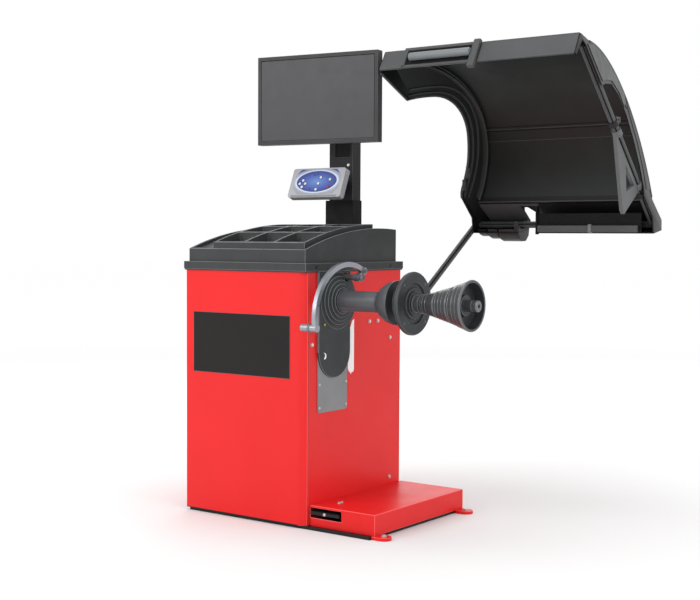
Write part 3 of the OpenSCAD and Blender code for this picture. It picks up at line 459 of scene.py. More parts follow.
SPINDLE_Y, SPINDLE_Z = -120.0, 714.0
RIGHT_FACE = 85.0
POST_FRONT = 170.0
KEYPAD_CORNER = (-135.0, 40.0, 1052.0)
KEYPAD_TILT = math.radians(68)
FILM_UP = 58.0
KEYPAD_FILM = FilmFinish(
    "keypad_printed_film", srgb(60, 80, 160), 0.25, coat=0.3, grain=0.03,
    origin=(
        KEYPAD_CORNER[0] * MM,
        (KEYPAD_CORNER[1] + FILM_UP * math.cos(KEYPAD_TILT)) * MM,
        (KEYPAD_CORNER[2] + FILM_UP * math.sin(KEYPAD_TILT)) * MM,
    ),
    tilt=KEYPAD_TILT,
)


class Form:
    """A piece in the making, in millimetres."""

    def __init__(self) -> None:
        """Start with nothing."""
        self.bm = bmesh.new()

    def take(self, part: bmesh.types.BMesh, place: Matrix = STILL) -> "Form":
        """Move a part into place and add it to the piece.

        Args:
            part: The part; it is used up.
            place: Where it goes.

        Returns:
            This piece.
        """
        bmesh.ops.transform(part, matrix=place, verts=part.verts)
        bmesh.ops.recalc_face_normals(part, faces=part.faces)
        mesh = bpy.data.meshes.new("part")
        part.to_mesh(mesh)
        part.free()
        self.bm.from_mesh(mesh)
        bpy.data.meshes.remove(mesh)
        return self

    def block(
        self, low: Point, high: Point, bevel: float = 0.0, place: Matrix = STILL, segments: int = 2
    ) -> "Form":
        """Add a block with rounded edges.

        Args:
            low: Lowest corner.
            high: Highest corner.
            bevel: Edge rounding.
            place: Where it goes.
            segments: Segments of the rounding.

        Returns:
            This piece.
        """
        part = bmesh.new()
        bmesh.ops.create_cube(part, size=1.0)
        size = Vector(high) - Vector(low)
        middle = (Vector(high) + Vector(low)) / 2
        sized = Matrix.Translation(middle) @ Matrix.Diagonal((*size, 1.0))
        bmesh.ops.transform(part, matrix=sized, verts=part.verts)
        if bevel:
            round_edges(part, part.edges, bevel, segments)
        return self.take(part, place)

    def rod(
        self, start: Point, end: Point, radius: float, chamfer: float = 0.0, sides: int = 32,
        end_radius: float = -1.0, place: Matrix = STILL,
    ) -> "Form":
        """Add a straight rod or cone with chamfered rims.

        Args:
            start: Centre of one end.
            end: Centre of the other end.
            radius: Radius at the start.
            chamfer: Rim rounding.
            sides: Sides of the rod.
            end_radius: Radius at the end, the same if negative.
            place: Where it goes.

        Returns:
            This piece.
        """
        part = bmesh.new()
        along = Vector(end) - Vector(start)
        last = radius if end_radius < 0 else end_radius
        bmesh.ops.create_cone(part, cap_ends=True, cap_tris=False, segments=sides, radius1=radius,
                              radius2=last, depth=along.length)
        if chamfer:
            rims = [e for e in part.edges if any(len(f.verts) == sides for f in e.link_faces)]
            round_edges(part, rims, chamfer, 2)
        turn = Vector((0, 0, 1)).rotation_difference(along).to_matrix().to_4x4()
        middle = Matrix.Translation((Vector(start) + Vector(end)) / 2)
        return self.take(part, place @ middle @ turn)

    def turned(
        self, profile: Sequence[Flat], y: float = SPINDLE_Y, z: float = SPINDLE_Z, steps: int = 96
    ) -> "Form":
        """Add a profile turned about an axis along X.

        Args:
            profile: Closed outline of (radius, x) points.
            y: Y of the axis.
            z: Z of the axis.
            steps: Steps round the axis.

        Returns:
            This piece.
        """
        part = bmesh.new()
        ring = [part.verts.new((x, radius, 0.0)) for radius, x in profile]
        for first, second in zip(ring, ring[1:] + ring[:1]):
            part.edges.new((first, second))
        bmesh.ops.spin(part, geom=part.verts[:] + part.edges[:], cent=(0, 0, 0), axis=(1, 0, 0),
                       angle=2 * math.pi, steps=steps, use_merge=True, use_duplicate=False)
        bmesh.ops.remove_doubles(part, verts=part.verts, dist=0.001)
        return self.take(part, Matrix.Translation((0, y, z)))

    def plate(
        self, outline: Sequence[Flat], low: float, high: float, holes: Iterable[Sequence[Flat]] = (),
        bevel: float = 0.0, place: Matrix = STILL,
    ) -> "Form":
        """Add a flat plate, drawn in YZ and thick along X.

        Args:
            outline: Outer outline of (y, z) points.
            low: X of one face.
            high: X of the other face.
            holes: Outlines of holes.
            bevel: Edge rounding.
            place: Where it goes.

        Returns:
            This piece.
        """
        part = bmesh.new()
        for loop in (outline, *holes):
            ring = [part.verts.new((low, y, z)) for y, z in loop]
            for first, second in zip(ring, ring[1:] + ring[:1]):
                part.edges.new((first, second))
        bmesh.ops.triangle_fill(part, use_beauty=True, use_dissolve=False, edges=part.edges)
        grown = bmesh.ops.extrude_face_region(part, geom=part.faces[:])["geom"]
        moved = [v for v in grown if isinstance(v, bmesh.types.BMVert)]
        bmesh.ops.translate(part, vec=(high - low, 0, 0), verts=moved)
        bmesh.ops.dissolve_limit(part, angle_limit=math.radians(1), verts=part.verts, edges=part.edges)
        bmesh.ops.recalc_face_normals(part, faces=part.faces)
        if bevel:
            round_edges(part, sharp_edges(part, 50), bevel, 2)
        return self.take(part, place)

    def sweep(self, points: Sequence[Point], section: Sequence[Flat], side: Point) -> "Form":
        """Add a section swept along a path.

        Args:
            points: Points of the path.
            section: Closed section, drawn across the path.
            side: Direction of the section's first axis.

        Returns:
            This piece.
        """
        part = bmesh.new()
        path = [Vector(p) for p in points]
        across = Vector(side).normalized()
        places = []
        for index, point in enumerate(path):
            ahead = (path[min(index + 1, len(path) - 1)] - path[max(index - 1, 0)]).normalized()
            across = (across - ahead * across.dot(ahead)).normalized()
            basis = Matrix((across, ahead.cross(across), ahead)).transposed().to_4x4()
            places.append(Matrix.Translation(point) @ basis)
        ring = [part.verts.new(places[0] @ Vector((u, v, 0.0))) for u, v in section]
        edges = [part.edges.new(pair) for pair in zip(ring, ring[1:] + ring[:1])]
        bmesh.ops.contextual_create(part, geom=edges)
        for before, after in zip(places, places[1:]):
            grown = bmesh.ops.extrude_edge_only(part, edges=edges)["geom"]
            moved = [g for g in grown if isinstance(g, bmesh.types.BMVert)]
            bmesh.ops.transform(part, matrix=after @ before.inverted(), verts=moved)
            edges = [g for g in grown if isinstance(g, bmesh.types.BMEdge)]
        bmesh.ops.contextual_create(part, geom=edges)
        return self.take(part)

    def coil(
        self, start: float, pitch: float, turns: float, radius: float, wire: float, steps: int = 40
    ) -> "Form":
        """Add a wire coil round the spindle's axis.

        Args:
            start: X of the first turn.
            pitch: Distance between turns.
            turns: Number of turns.
            radius: Mean radius.
            wire: Radius of the wire.
            steps: Steps in a turn.

        Returns:
            This piece.
        """
        part = bmesh.new()
        bmesh.ops.create_circle(part, cap_ends=True, segments=10, radius=wire)
        bmesh.ops.rotate(part, cent=(0, 0, 0), matrix=Matrix.Rotation(math.pi / 2, 3, "Y"), verts=part.verts)
        bmesh.ops.rotate(part, cent=(0, 0, 0), matrix=Matrix.Rotation(math.pi / 2, 3, "Z"), verts=part.verts)
        bmesh.ops.translate(part, vec=(start, radius, 0), verts=part.verts)
        total = int(turns * steps)
        bmesh.ops.spin(part, geom=part.faces[:], cent=(0, 0, 0), axis=(1, 0, 0), dvec=(pitch / steps, 0, 0),
                       angle=2 * math.pi * turns, steps=total, use_merge=False, use_duplicate=False)
        return self.take(part, Matrix.Translation((0, SPINDLE_Y, SPINDLE_Z)))

    def bolt(self, head: Point, out: Point, size: float = 5.0, socket: bool = True) -> "Form":
        """Add a screw head with a washer and a six-sided socket rim.

        Args:
            head: Centre of the head's seat.
            out: Direction the head faces.
            size: Radius of the head.
            socket: Six-sided recess in the head; otherwise a six-sided head.

        Returns:
            This piece.
        """
        seat, away = Vector(head), Vector(out).normalized()
        self.rod(seat, seat + away * size * 0.22, size * 1.25, size * 0.08, 24)
        top = seat + away * size * 0.85
        if socket:
            self.rod(seat, top, size, size * 0.22, 24)
            return self.rod(top - away * size * 0.1, top + away * size * 0.03, size * 0.5, 0, 6)
        return self.rod(seat, top, size, size * 0.12, 6)

    def finish(
        self, name: str, finish: Finish, body: Body, stands_for: Sequence[str] = (), angle: float = 35.0,
        edge: Finish | None = None,
    ) -> bpy.types.Object:
        """Make the piece an object that rides on a body.

        Args:
            name: Name of the piece.
            finish: Its finish.
            body: The body that it moves with.
            stands_for: CAD nodes that it replaces.
            angle: Edges sharper than this stay sharp.
            edge: Finish of faces marked as edges, a lighter colour painted on them as a highlight.

        Returns:
            The object.
        """
        bmesh.ops.scale(self.bm, vec=(MM, MM, MM), verts=self.bm.verts)
        mesh = bpy.data.meshes.new(name)
        self.bm.to_mesh(mesh)
        self.bm.free()
        mesh.shade_smooth()
        mesh.set_sharp_from_angle(angle=math.radians(angle))
        mesh.materials.append(finish.material())
        if edge:
            mesh.materials.append(edge.material())
        piece = bpy.data.objects.new(name, mesh)
        bpy.context.scene.collection.objects.link(piece)
        level = piece.modifiers.new("even_shading", "WEIGHTED_NORMAL")
        level.keep_sharp = True
        level.weight = 100
        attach(piece, body.value)
        if stands_for:
            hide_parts(*stands_for)
        LOG.info("%s: %d faces on %s", name, len(mesh.polygons), body.value)
        return piece


def sharp_edges(bm: bmesh.types.BMesh, angle: float, convex: bool = True) -> list[bmesh.types.BMEdge]:
    """Edges that fold by more than an angle.

    Args:
        bm: The mesh.
        angle: Least fold in degrees.
        convex: Outer edges only.

    Returns:
        The edges.
    """
    least = math.radians(angle)
    return [
        e for e in bm.edges
        if len(e.link_faces) == 2 and e.calc_face_angle(0.0) > least and (e.is_convex or not convex)
    ]


def round_edges(
    bm: bmesh.types.BMesh, edges: Iterable[bmesh.types.BMEdge], width: float, segments: int
) -> list[bmesh.types.BMFace]:
    """Bevel edges and return the new faces.

    Args:
        bm: The mesh.
        edges: Edges to round.
        width: Width of the rounding.
        segments: Segments across it.

    Returns:
        The rounding's faces.
    """
    made = bmesh.ops.bevel(
        bm, geom=list(edges), offset=width, offset_type="OFFSET", segments=segments, profile=0.5,
        affect="EDGES", clamp_overlap=True, material=-1, loop_slide=True,
    )
    return made["faces"]


def soften(
    node: str, name: str, finish: Finish, body: Body, width: float, edge: Finish | None = None,
    angle: float = 30.0, segments: int = 2,
) -> bpy.types.Object:
    """A CAD node's shape with rounded edges.

    Args:
        node: CAD node that it stands for.
        name: Name of the piece.
        finish: Its finish.
        body: The body that it moves with.
        width: Width of the rounding.
        edge: Finish of the rounded edges, a lighter colour painted on them as a highlight.
        angle: Least fold that is rounded, in degrees.
        segments: Segments across the rounding.

    Returns:
        The piece.
    """
    form = Form()
    form.bm.from_mesh(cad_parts[node].data)
    bmesh.ops.scale(form.bm, vec=(1 / MM, 1 / MM, 1 / MM), verts=form.bm.verts)
    bmesh.ops.remove_doubles(form.bm, verts=form.bm.verts, dist=0.002)
    bmesh.ops.dissolve_limit(form.bm, angle_limit=math.radians(0.5), verts=form.bm.verts, edges=form.bm.edges)
    rounding = round_edges(form.bm, sharp_edges(form.bm, angle), width, segments)
    # The rounded edges take the second finish: a painted highlight.
    if edge:
        for face in rounding:
            face.material_index = 1
    return form.finish(name, finish, body, (node,), edge=edge)


def arc(centre: Flat, radius: float, start: float, end: float, count: int) -> list[Flat]:
    """Points on an arc.

    Args:
        centre: Centre.
        radius: Radius.
        start: First angle in degrees.
        end: Last angle in degrees.
        count: Number of steps.

    Returns:
        The points.
    """
    angles = [math.radians(start + (end - start) * i / count) for i in range(count + 1)]
    return [(centre[0] + radius * math.cos(a), centre[1] + radius * math.sin(a)) for a in angles]


def square_section(width: float, height: float) -> list[Flat]:
    """Corners of a rectangle round the origin."""
    u, v = width / 2, height / 2
    return [(-u, -v), (u, -v), (u, v), (-u, v)]


def round_section(radius: float, sides: int) -> list[Flat]:
    """Corners of a regular polygon round the origin."""
    angles = [math.tau * i / sides for i in range(sides)]
    return [(radius * math.cos(a), radius * math.sin(a)) for a in angles]


@dataclass
class Cabinet:
    """Sheet-steel cabinet with its base, platform and outer fittings."""

    left: float = -418.0
    front: float = -280.0
    back: float = 250.0
    foot: float = 10.0
    platform_top: float = 75.0
    badge: tuple[float, float, float, float] = (-385.0, 25.0, 470.0, 669.0)
    label_y: Flat = (-54.0, -21.0)
    label_z: Flat = (490.0, 650.0)
    anchor: Flat = (360.0, 240.0)
    cover_face: float = 88.0
    cover_screw_y: Flat = (-210.0, -70.0)
    cover_screw_z: Flat = (376.0, 450.0)
    platform_screw_x: float = 145.0
    platform_screw_y: Flat = (-180.0, -166.0)
    post_screw_z: Flat = (1135.0, 1165.0)
    louvre_z: float = 570.0
    louvre_pitch: float = 22.0
    louvre_y: Flat = (-64.0, 104.0)
    peg_y: float = -160.0
    peg_z: Flat = (291.0, 493.0)
    peg_length: float = 84.0
    side_screws: tuple[Flat, ...] = (
        (-7.0, 792.0), (65.0, 638.0), (113.0, 638.0), (186.0, 578.0), (186.0, 100.0), (-246.0, 579.0),
    )

    def build(self) -> None:
        """Build the skins, the base and the platform."""
        skins = {
            "front_panel": "front_skin", "right_panel": "right_skin", "left_panel": "left_skin",
            "back_panel": "back_skin", "platform_cover": "platform_skin", "anchor_ears": "anchor_ear_pair",
        }
        for node, name in skins.items():
            # The skins' rounded edges take the lighter red: a painted highlight.
            soften(node, name, RED_PAINT, Body.CABINET, 0.9 if "panel" in node else 2.0, RED_EDGE_HIGHLIGHT, segments=1)
        soften("base_plate", "base_frame", BLACK_PAINT, Body.CABINET, 1.0)

    def dress(self) -> None:
        """Add the badge, the label, the screws and the small fittings."""
        self.build_badge()
        self.build_seam()
        self.build_label()
        self.build_screws()
        self.build_louvres()
        self.build_back()
        self.build_pegs()

    def build_badge(self) -> None:
        """Plain black film on the front, with a thin rim."""
        x0, x1, z0, z1 = self.badge
        film = Form().block((x0, self.front - 0.5, z0), (x1, self.front, z1), 0.2)
        film.finish("front_badge", BADGE_FILM, Body.CABINET)
        rim, wide = Form(), 1.5
        for low, high in (((x0, z0), (x1, z0 + wide)), ((x0, z1 - wide), (x1, z1)),
                          ((x0, z0), (x0 + wide, z1)), ((x1 - wide, z0), (x1, z1))):
            rim.block((low[0], self.front - 0.8, low[1]), (high[0], self.front - 0.4, high[1]), 0.1)
        rim.finish("front_badge_rim", DARK_GREY_AND_EDGE_HIGHLIGHT, Body.CABINET)

    def build_seam(self) -> None:
        """Dark joint at the chamfered corner and a drip edge above the base."""
        seam = Form().block((84.2, -262.4, self.foot + 2), (85.15, -261.6, 804.0), 0.1, segments=1)
        seam.block((self.left + 1, self.front - 0.6, self.foot), (58.0, self.front, self.foot + 2.2), 0.25)
        seam.finish("front_panel_seam", BLACK_PAINT, Body.CABINET)

    def build_label(self) -> None:
        """Plain white label with a worn lower end on the right side."""
        y0, y1 = self.label_y
        low, top = self.label_z
        torn = [(y0, low), (y0 + 5, low - 10), (y0 + 11, low - 12), (y0 + 16, low - 20), (y0 + 22, low - 12),
                (y1 - 4, low - 14), (y1, low - 4)]
        outline = [*torn, (y1, top), (y1 - 9, top - 4), (y0 + 4, top - 40), (y0, top - 60)]
        label = Form().plate(outline, RIGHT_FACE + 0.1, RIGHT_FACE + 0.4)
        label.finish("side_label", LABEL_PAPER, Body.CABINET)

    def build_screws(self) -> None:
        """Socket screws with washers on the side, the platform and the post."""
        screws = Form()
        for y, z in self.side_screws:
            screws.bolt((RIGHT_FACE, y, z), (1, 0, 0), 5.5)
        for z in self.cover_screw_z:
            for y in self.cover_screw_y:
                screws.bolt((self.cover_face, y, z), (1, 0, 0), 3.6)
        for y in self.platform_screw_y:
            screws.bolt((self.platform_screw_x, y, self.platform_top), (0, 0, 1), 5.0)
        for z in self.post_screw_z:
            screws.bolt((-80.0, POST_FRONT, z), (0, -1, 0), 4.5)
        screws.finish("cabinet_screws", ZINC, Body.CABINET, ("panel_screws",), angle=30)
        floor = Form()
        for y in (-self.anchor[1], self.anchor[1]):
            floor.bolt((self.anchor[0], y, self.foot), (0, 0, 1), 7.5, socket=False)
        floor.finish("floor_bolts", ZINC, Body.CABINET, angle=30)

    def build_louvres(self) -> None:
        """Pressed hoods over the vent slots of the left side."""
        louvres = Form()
        for index in range(6):
            z = self.louvre_z + self.louvre_pitch * index
            section = [(self.left, z - 1.0), (self.left - 6.0, z - 1.0), (self.left - 5.0, z + 1.5),
                       (self.left, z + 12.0)]
            part = bmesh.new()
            ends = [[part.verts.new((x, y, height)) for x, height in section] for y in self.louvre_y]
            for one, two in zip(range(4), (1, 2, 3, 0)):
                part.faces.new((ends[0][one], ends[0][two], ends[1][two], ends[1][one]))
            part.faces.new(ends[0])
            part.faces.new(ends[1][::-1])
            bmesh.ops.recalc_face_normals(part, faces=part.faces)
            round_edges(part, [e for e in part.edges if e.verts[0].co.x < self.left - 1], 0.8, 2)
            louvres.take(part)
        louvres.finish("vent_louvres", RED_PAINT, Body.CABINET)

    def build_back(self) -> None:
        """Mains inlet pins, a blank rating plate and the back panel's rivets."""
        soften("mains_inlet", "mains_inlet_body", BLACK_PAINT, Body.CABINET, 0.8)
        pins = Form()
        for x, z in ((-291.0, 176.0), (-277.0, 176.0), (-284.0, 169.0)):
            pins.block((x - 1, self.back - 15, z - 2.2), (x + 1, self.back - 3, z + 2.2), 0.4)
        pins.finish("mains_pins", BRASS, Body.CABINET)
        plate = Form().block((-180, self.back, 300), (-90, self.back + 0.8, 360), 0.3)
        plate.finish("rating_plate", ALUMINIUM, Body.CABINET)
        rivets = Form()
        for x in (-405.0, -175.0, 72.0):
            for z in (40.0, 420.0, 780.0):
                rivets.rod((x, self.back, z), (x, self.back + 2.0, z), 4.0, 1.2, 20)
        for x in (-176.0, -94.0):
            for z in (304.0, 356.0):
                rivets.rod((x, self.back, z), (x, self.back + 1.8, z), 2.0, 0.7, 16)
        rivets.finish("back_rivets", ZINC, Body.CABINET)
        soften("power_switch", "power_rocker_cap", BLACK_PAINT, Body.SWITCH, 0.8)

    def build_pegs(self) -> None:
        """Storage pegs with rubber rings."""
        soften("storage_pegs", "cone_pegs", SHAFT_STEEL, Body.CABINET, 1.0)
        rings = Form()
        for z in self.peg_z:
            for x in (self.left, self.left - self.peg_length):
                outline = [(9.1, x - 5), (12, x - 4.5), (13, x - 2.5), (12, x - 0.5), (9.1, x)]
                rings.turned(outline, self.peg_y, z, 48)
        rings.finish("peg_rings", RUBBER, Body.CABINET)


@dataclass
class WeightTray:
    """Moulded tray with nine pockets, an arched top and a rim."""

    rim: tuple[float, float, float, float] = (-424.0, 91.0, -286.0, 256.0)

    def build(self) -> None:
        """Build the tray."""
        # The tray's rounded edges take the lighter grey: a painted highlight.
        soften("weight_tray", "tray_moulding", TRAY_PLASTIC, Body.CABINET, 2.6, TRAY_EDGE_HIGHLIGHT, segments=2)

    def dress(self) -> None:
        """Add a bead under the rim and four cover plugs."""
        x0, x1, y0, y1 = self.rim
        near, wide = 2.0, 5.0
        z0, z1 = 806.0, 811.0
        bead = Form()
        for low, high in (
            ((x0 + near, y0 + near), (x1 - near, y0 + wide)),
            ((x1 - wide, y0 + near), (x1 - near, y1 - near)),
            ((x0 + near, y0 + near), (x0 + wide, y1 - near)),
            ((x0 + near, y1 - wide), (x1 - near, y1 - near)),
        ):
            bead.block((*low, z0), (*high, z1), 0.8)
        bead.finish("tray_rim_bead", TRAY_PLASTIC, Body.CABINET)
        plug_z, plug_out = 822.0, 1.6
        plugs = Form()
        for y in (-230.0, 180.0):
            plugs.rod((x1, y, plug_z), (x1 + plug_out, y, plug_z), 6.0, 0.8, 28)
            plugs.rod((x0 - plug_out, y, plug_z), (x0, y, plug_z), 6.0, 0.8, 28)
        plugs.finish("tray_plugs", BLACK_PAINT, Body.CABINET)


@dataclass
class Post:
    """Post, its sleeve and its brackets."""

    front: float = POST_FRONT

    def build(self) -> None:
        """Build the post and the sleeve."""
        # The post's rounded edges take the dark grey: a painted highlight.
        soften("post", "post_tube", POST_PAINT, Body.CABINET, 1.2, DARK_GREY_AND_EDGE_HIGHLIGHT)
        soften("post_sleeve", "sleeve_tube", SLEEVE_PAINT, Body.CABINET, 1.2)
        soften("monitor_bracket", "monitor_arm", BLACK_PAINT, Body.CABINET, 1.0)
        soften("keypad_bracket", "keypad_arm", BLACK_PAINT, Body.CABINET, 0.8)

    def dress(self) -> None:
        """Add a black sheet behind the cut-out as painted shade, and the cap on top."""
        # Black sheet behind the cut-out: painted shade inside the post.
        window = Form().block((-144, self.front + 3.2, 1186), (-68, self.front + 5.0, 1252), 0.3)
        window.finish("post_window_painted_shade", SLEEVE_PAINT, Body.CABINET)
        cap = Form().block((-161, self.front + 2, 1436), (-65, 216, 1442), 1.5)
        cap.finish("post_cap", RUBBER, Body.CABINET)


@dataclass
class Monitor:
    """Flat screen on a swivelling bracket."""

    pivot: Flat = (-113.0, 84.0)
    yaw: float = 8.0
    size: Flat = (462.0, 300.0)
    centre_z: float = 1380.0
    front: float = 16.0
    back: float = 50.0

    def place(self) -> Matrix:
        """Turn about the swivel."""
        pivot = Vector((*self.pivot, 0))
        turn = Matrix.Rotation(math.radians(self.yaw), 4, "Z")
        return Matrix.Translation(pivot) @ turn @ Matrix.Translation(-pivot)

    def build(self) -> None:
        """Build the housing and the screen."""
        # The case's rounded edges take the dark grey: a painted highlight.
        soften("monitor_housing", "monitor_case", MONITOR_PLASTIC, Body.MONITOR, 1.5, DARK_GREY_AND_EDGE_HIGHLIGHT)
        soften("monitor_screen", "monitor_glass", SCREEN_GLASS, Body.MONITOR, 0.6)

    def dress(self) -> None:
        """Add the back's bulge with its vents, the plate's screws and the buttons."""
        self.build_rear()
        self.build_gasket()
        self.build_buttons()
        self.build_plate_screws()

    def build_rear(self) -> None:
        """The back's bulge and its two rows of vents."""
        x, z, back = self.pivot[0], self.centre_z, self.back
        bulge = Form().block((x - 150, back - 2, z - 95), (x + 150, back + 5, z + 95), 4.0, self.place(), 3)
        bulge.finish("monitor_back_bulge", MONITOR_PLASTIC, Body.MONITOR)
        vents = Form()
        for index in range(-11, 12):
            for low in (64.0, -82.0):
                at, v = x + 11 * index, z + low
                vents.block((at - 2, back + 4.6, v), (at + 2, back + 5.6, v + 18), 0.4, self.place(), 1)
        vents.finish("monitor_vents", RUBBER, Body.MONITOR)

    def build_gasket(self) -> None:
        """Thin black frame round the glass."""
        x, z, wide = self.pivot[0], self.centre_z, 1.5
        w, h = self.size[0] / 2 - 12, self.size[1] / 2 - 13
        gasket = Form()
        for u0, u1, v0, v1 in (
            (-w, w, h - wide, h), (-w, w, -h, -h + wide), (-w, -w + wide, -h, h), (w - wide, w, -h, h),
        ):
            low, high = (x + u0, self.front + 0.2, z + v0), (x + u1, self.front + 1.4, z + v1)
            gasket.block(low, high, 0.2, self.place(), 1)
        gasket.finish("screen_gasket", RUBBER, Body.MONITOR)

    def build_buttons(self) -> None:
        """Five buttons under the lower edge."""
        x, y, z = self.pivot[0], self.front + 12, self.centre_z - self.size[1] / 2
        buttons = Form()
        for index in range(5):
            at = x + 120 + 14 * index
            buttons.rod((at, y, z), (at, y, z - 1.6), 2.6, 0.5, 20, place=self.place())
        buttons.finish("monitor_buttons", BLACK_PAINT, Body.MONITOR)

    def build_plate_screws(self) -> None:
        """Four screws of the mounting plate."""
        x = self.pivot[0]
        screws = Form()
        for u in (-37.5, 37.5):
            for v in (-37.5, 37.5):
                seat = self.place() @ Vector((x + u, self.back + 6, self.centre_z + v))
                screws.bolt(seat, self.place().to_3x3() @ Vector((0, 1, 0)), 3.4)
        screws.finish("monitor_plate_screws", ZINC, Body.MONITOR, angle=30)


@dataclass
class Keypad:
    """Sloping keypad with a printed film and nine keys."""

    length: float = 108.0
    width: float = 224.0
    keys: dict[Body, tuple[Finish, Flat]] = field(default_factory=lambda: {
        Body.KEY_UP: (KEY_PLASTIC, (-58, 62)),
        Body.KEY_DOWN: (KEY_PLASTIC, (-58, 38)),
        Body.KEY_LEFT: (KEY_PLASTIC, (-70, 50)),
        Body.KEY_RIGHT: (KEY_PLASTIC, (-46, 50)),
        Body.KEY_MENU: (KEY_PLASTIC, (15, 72)),
        Body.KEY_FINE: (KEY_PLASTIC, (10, 50)),
        Body.KEY_PRINT: (KEY_PLASTIC, (5, 28)),
        Body.KEY_START: (KEY_GREEN, (56, 64)),
        Body.KEY_STOP: (KEY_RED, (54, 36)),
    })

    def place(self) -> Matrix:
        """The sloping face's frame: across, up the slope, out of the face."""
        return Matrix.Translation(KEYPAD_CORNER) @ Matrix.Rotation(KEYPAD_TILT, 4, "X")

    def build(self) -> None:
        """Build the housing, the film and the keys."""
        soften("keypad_housing", "keypad_case", SILVER_PLASTIC, Body.CABINET, 2.0, segments=3)
        soften("keypad_overlay", "keypad_film", KEYPAD_FILM, Body.CABINET, 0.25, segments=1)
        for key, (finish, _) in self.keys.items():
            soften(key.value, f"{key.value}_cap", finish, key, 1.0, segments=3)

    def dress(self) -> None:
        """Add key rims, lamps, lip lines and an underside cover."""
        rims = Form()
        for _, (u, v) in self.keys.values():
            ring = Form()
            ring.turned([(5.7, 0.9), (6.4, 0.9), (6.3, 1.5), (5.8, 1.5)], 0, 0, 32)
            upright = Matrix.Rotation(-math.pi / 2, 3, "Y")
            bmesh.ops.rotate(ring.bm, cent=(0, 0, 0), matrix=upright, verts=ring.bm.verts)
            rims.take(ring.bm, self.place() @ Matrix.Translation((u, v, 0)))
        rims.finish("key_rims", LAMP_PLASTIC, Body.CABINET)
        lamps = Form()
        for u, v in ((-14, 82), (-2, 84), (-22, 30)):
            lamps.rod((u, v, 0.9), (u, v, 2.2), 2.6, 0.6, 24, place=self.place())
        lamps.finish("keypad_lamps", LAMP_PLASTIC, Body.CABINET)
        lip = Form()
        for v in (2.5, 6.0):
            lip.block((-self.width / 2 + 14, v, -0.2), (self.width / 2 - 14, v + 1.4, 0.6), 0.3, self.place())
        lip.finish("keypad_lip_lines", DARK_GREY_AND_EDGE_HIGHLIGHT, Body.CABINET)
        under = Form().block((-96, 10, -26.0), (96, self.length - 10, -23.9), 1.0, self.place())
        under.finish("keypad_bottom_cover", BLACK_PAINT, Body.CABINET)


@dataclass
class Spindle:
    """Spindle tube, hub, flange, shaft, spring and centring cones."""

    face: float = 387.0
    tip: float = 615.0
    shaft: float = 18.0
    plug_radius: float = 82.0

    def build(self) -> None:
        """Build the turned parts."""
        soften("spindle_housing", "spindle_tube", TUBE_STEEL, Body.CABINET, 1.5, segments=2)
        soften("hub_cup", "hub_cup_casting", HUB_STEEL, Body.SPINDLE, 1.5)
        # The flange's rounded edges take the lighter tube grey: a painted highlight.
        soften("wheel_flange", "flange_casting", FLANGE_IRON, Body.SPINDLE, 1.0, TUBE_STEEL)
        soften("spindle_shaft", "shaft_bar", SHAFT_STEEL, Body.SPINDLE, 0.8)
        # The cones' rounded rims take the bright steel: a painted highlight.
        soften("small_cone", "small_cone_body", CONE_STEEL, Body.SMALL_CONE, 0.9, BRIGHT_STEEL_AND_RIM_HIGHLIGHT, angle=15)
        soften("medium_cone", "medium_cone_body", CONE_STEEL, Body.MEDIUM_CONE, 0.9, BRIGHT_STEEL_AND_RIM_HIGHLIGHT, angle=15)
        soften("large_cone", "large_cone_body", CONE_STEEL, Body.LARGE_CONE, 1.0, BRIGHT_STEEL_AND_RIM_HIGHLIGHT, angle=15)

    def dress(self) -> None:
        """Add the spring, its collar, the thread and the ridges."""
        spring = Form().coil(self.face + 7.2, 4.6, 4.6, 25.5, 1.9, 48)
        spring.turned([(19.0, 392.2), (27.0, 392.2), (28.0, 393.2), (27.0, 394.6), (19.0, 394.6)])
        spring.turned([(19.0, 413.0), (29.0, 413.0), (30.5, 414.0), (30.5, 416.0), (29.0, 417.0),
                       (19.0, 417.0)])
        spring.turned([(18.4, 394.4), (21.5, 394.4), (21.5, 413.2), (18.4, 413.2)])
        spring.finish("cone_spring_coil", SHAFT_STEEL, Body.SPINDLE, ("cone_spring",))
        thread = Form().coil(self.tip - 44, 3.0, 7.0, self.shaft, 0.55, 36)
        thread.finish("shaft_thread", SHAFT_STEEL, Body.SPINDLE)
        self.build_ridges()
        self.build_flange_marks()

    def build_ridges(self) -> None:
        """Turned ridges on the cones."""
        ridges = {
            Body.SMALL_CONE: [(424.0, 28.8), (432.0, 30.7), (444.0, 33.6)],
            Body.MEDIUM_CONE: [(486.0, 44.7), (499.0, 48.1), (512.0, 51.6)],
            Body.LARGE_CONE: [(540.0, 60.1), (556.0, 65.7), (572.0, 71.3)],
        }
        for body, rings in ridges.items():
            form = Form()
            for x, radius in rings:
                form.turned([(radius - 1.5, x - 1.6), (radius + 0.9, x - 0.7), (radius + 0.9, x + 0.7),
                             (radius - 1.5, x + 1.6)])
            form.finish(f"{body.value}_ridges", BRIGHT_STEEL_AND_RIM_HIGHLIGHT, body)

    def build_flange_marks(self) -> None:
        """Threaded plugs on the wheel face and a groove ring on the tube."""
        plugs = Form()
        for index in range(4):
            angle = math.radians(45 + 90 * index)
            y = SPINDLE_Y + self.plug_radius * math.cos(angle)
            z = SPINDLE_Z + self.plug_radius * math.sin(angle)
            plugs.rod((self.face - 0.4, y, z), (self.face + 0.8, y, z), 4.5, 0.4, 24)
            plugs.rod((self.face + 0.7, y, z), (self.face + 0.9, y, z), 2.2, 0, 6)
        plugs.finish("flange_plugs", TUBE_STEEL, Body.SPINDLE)
        rings = Form()
        rings.turned([(32.5, 255.0), (34.0, 255.6), (34.0, 259.4), (32.5, 260.0)])
        rings.turned([(32.5, 114.5), (36.2, 114.5), (37.5, 115.5), (37.5, 118.5), (36.2, 119.5),
                      (32.5, 119.5)])
        rings.finish("tube_rings", HUB_STEEL, Body.CABINET)


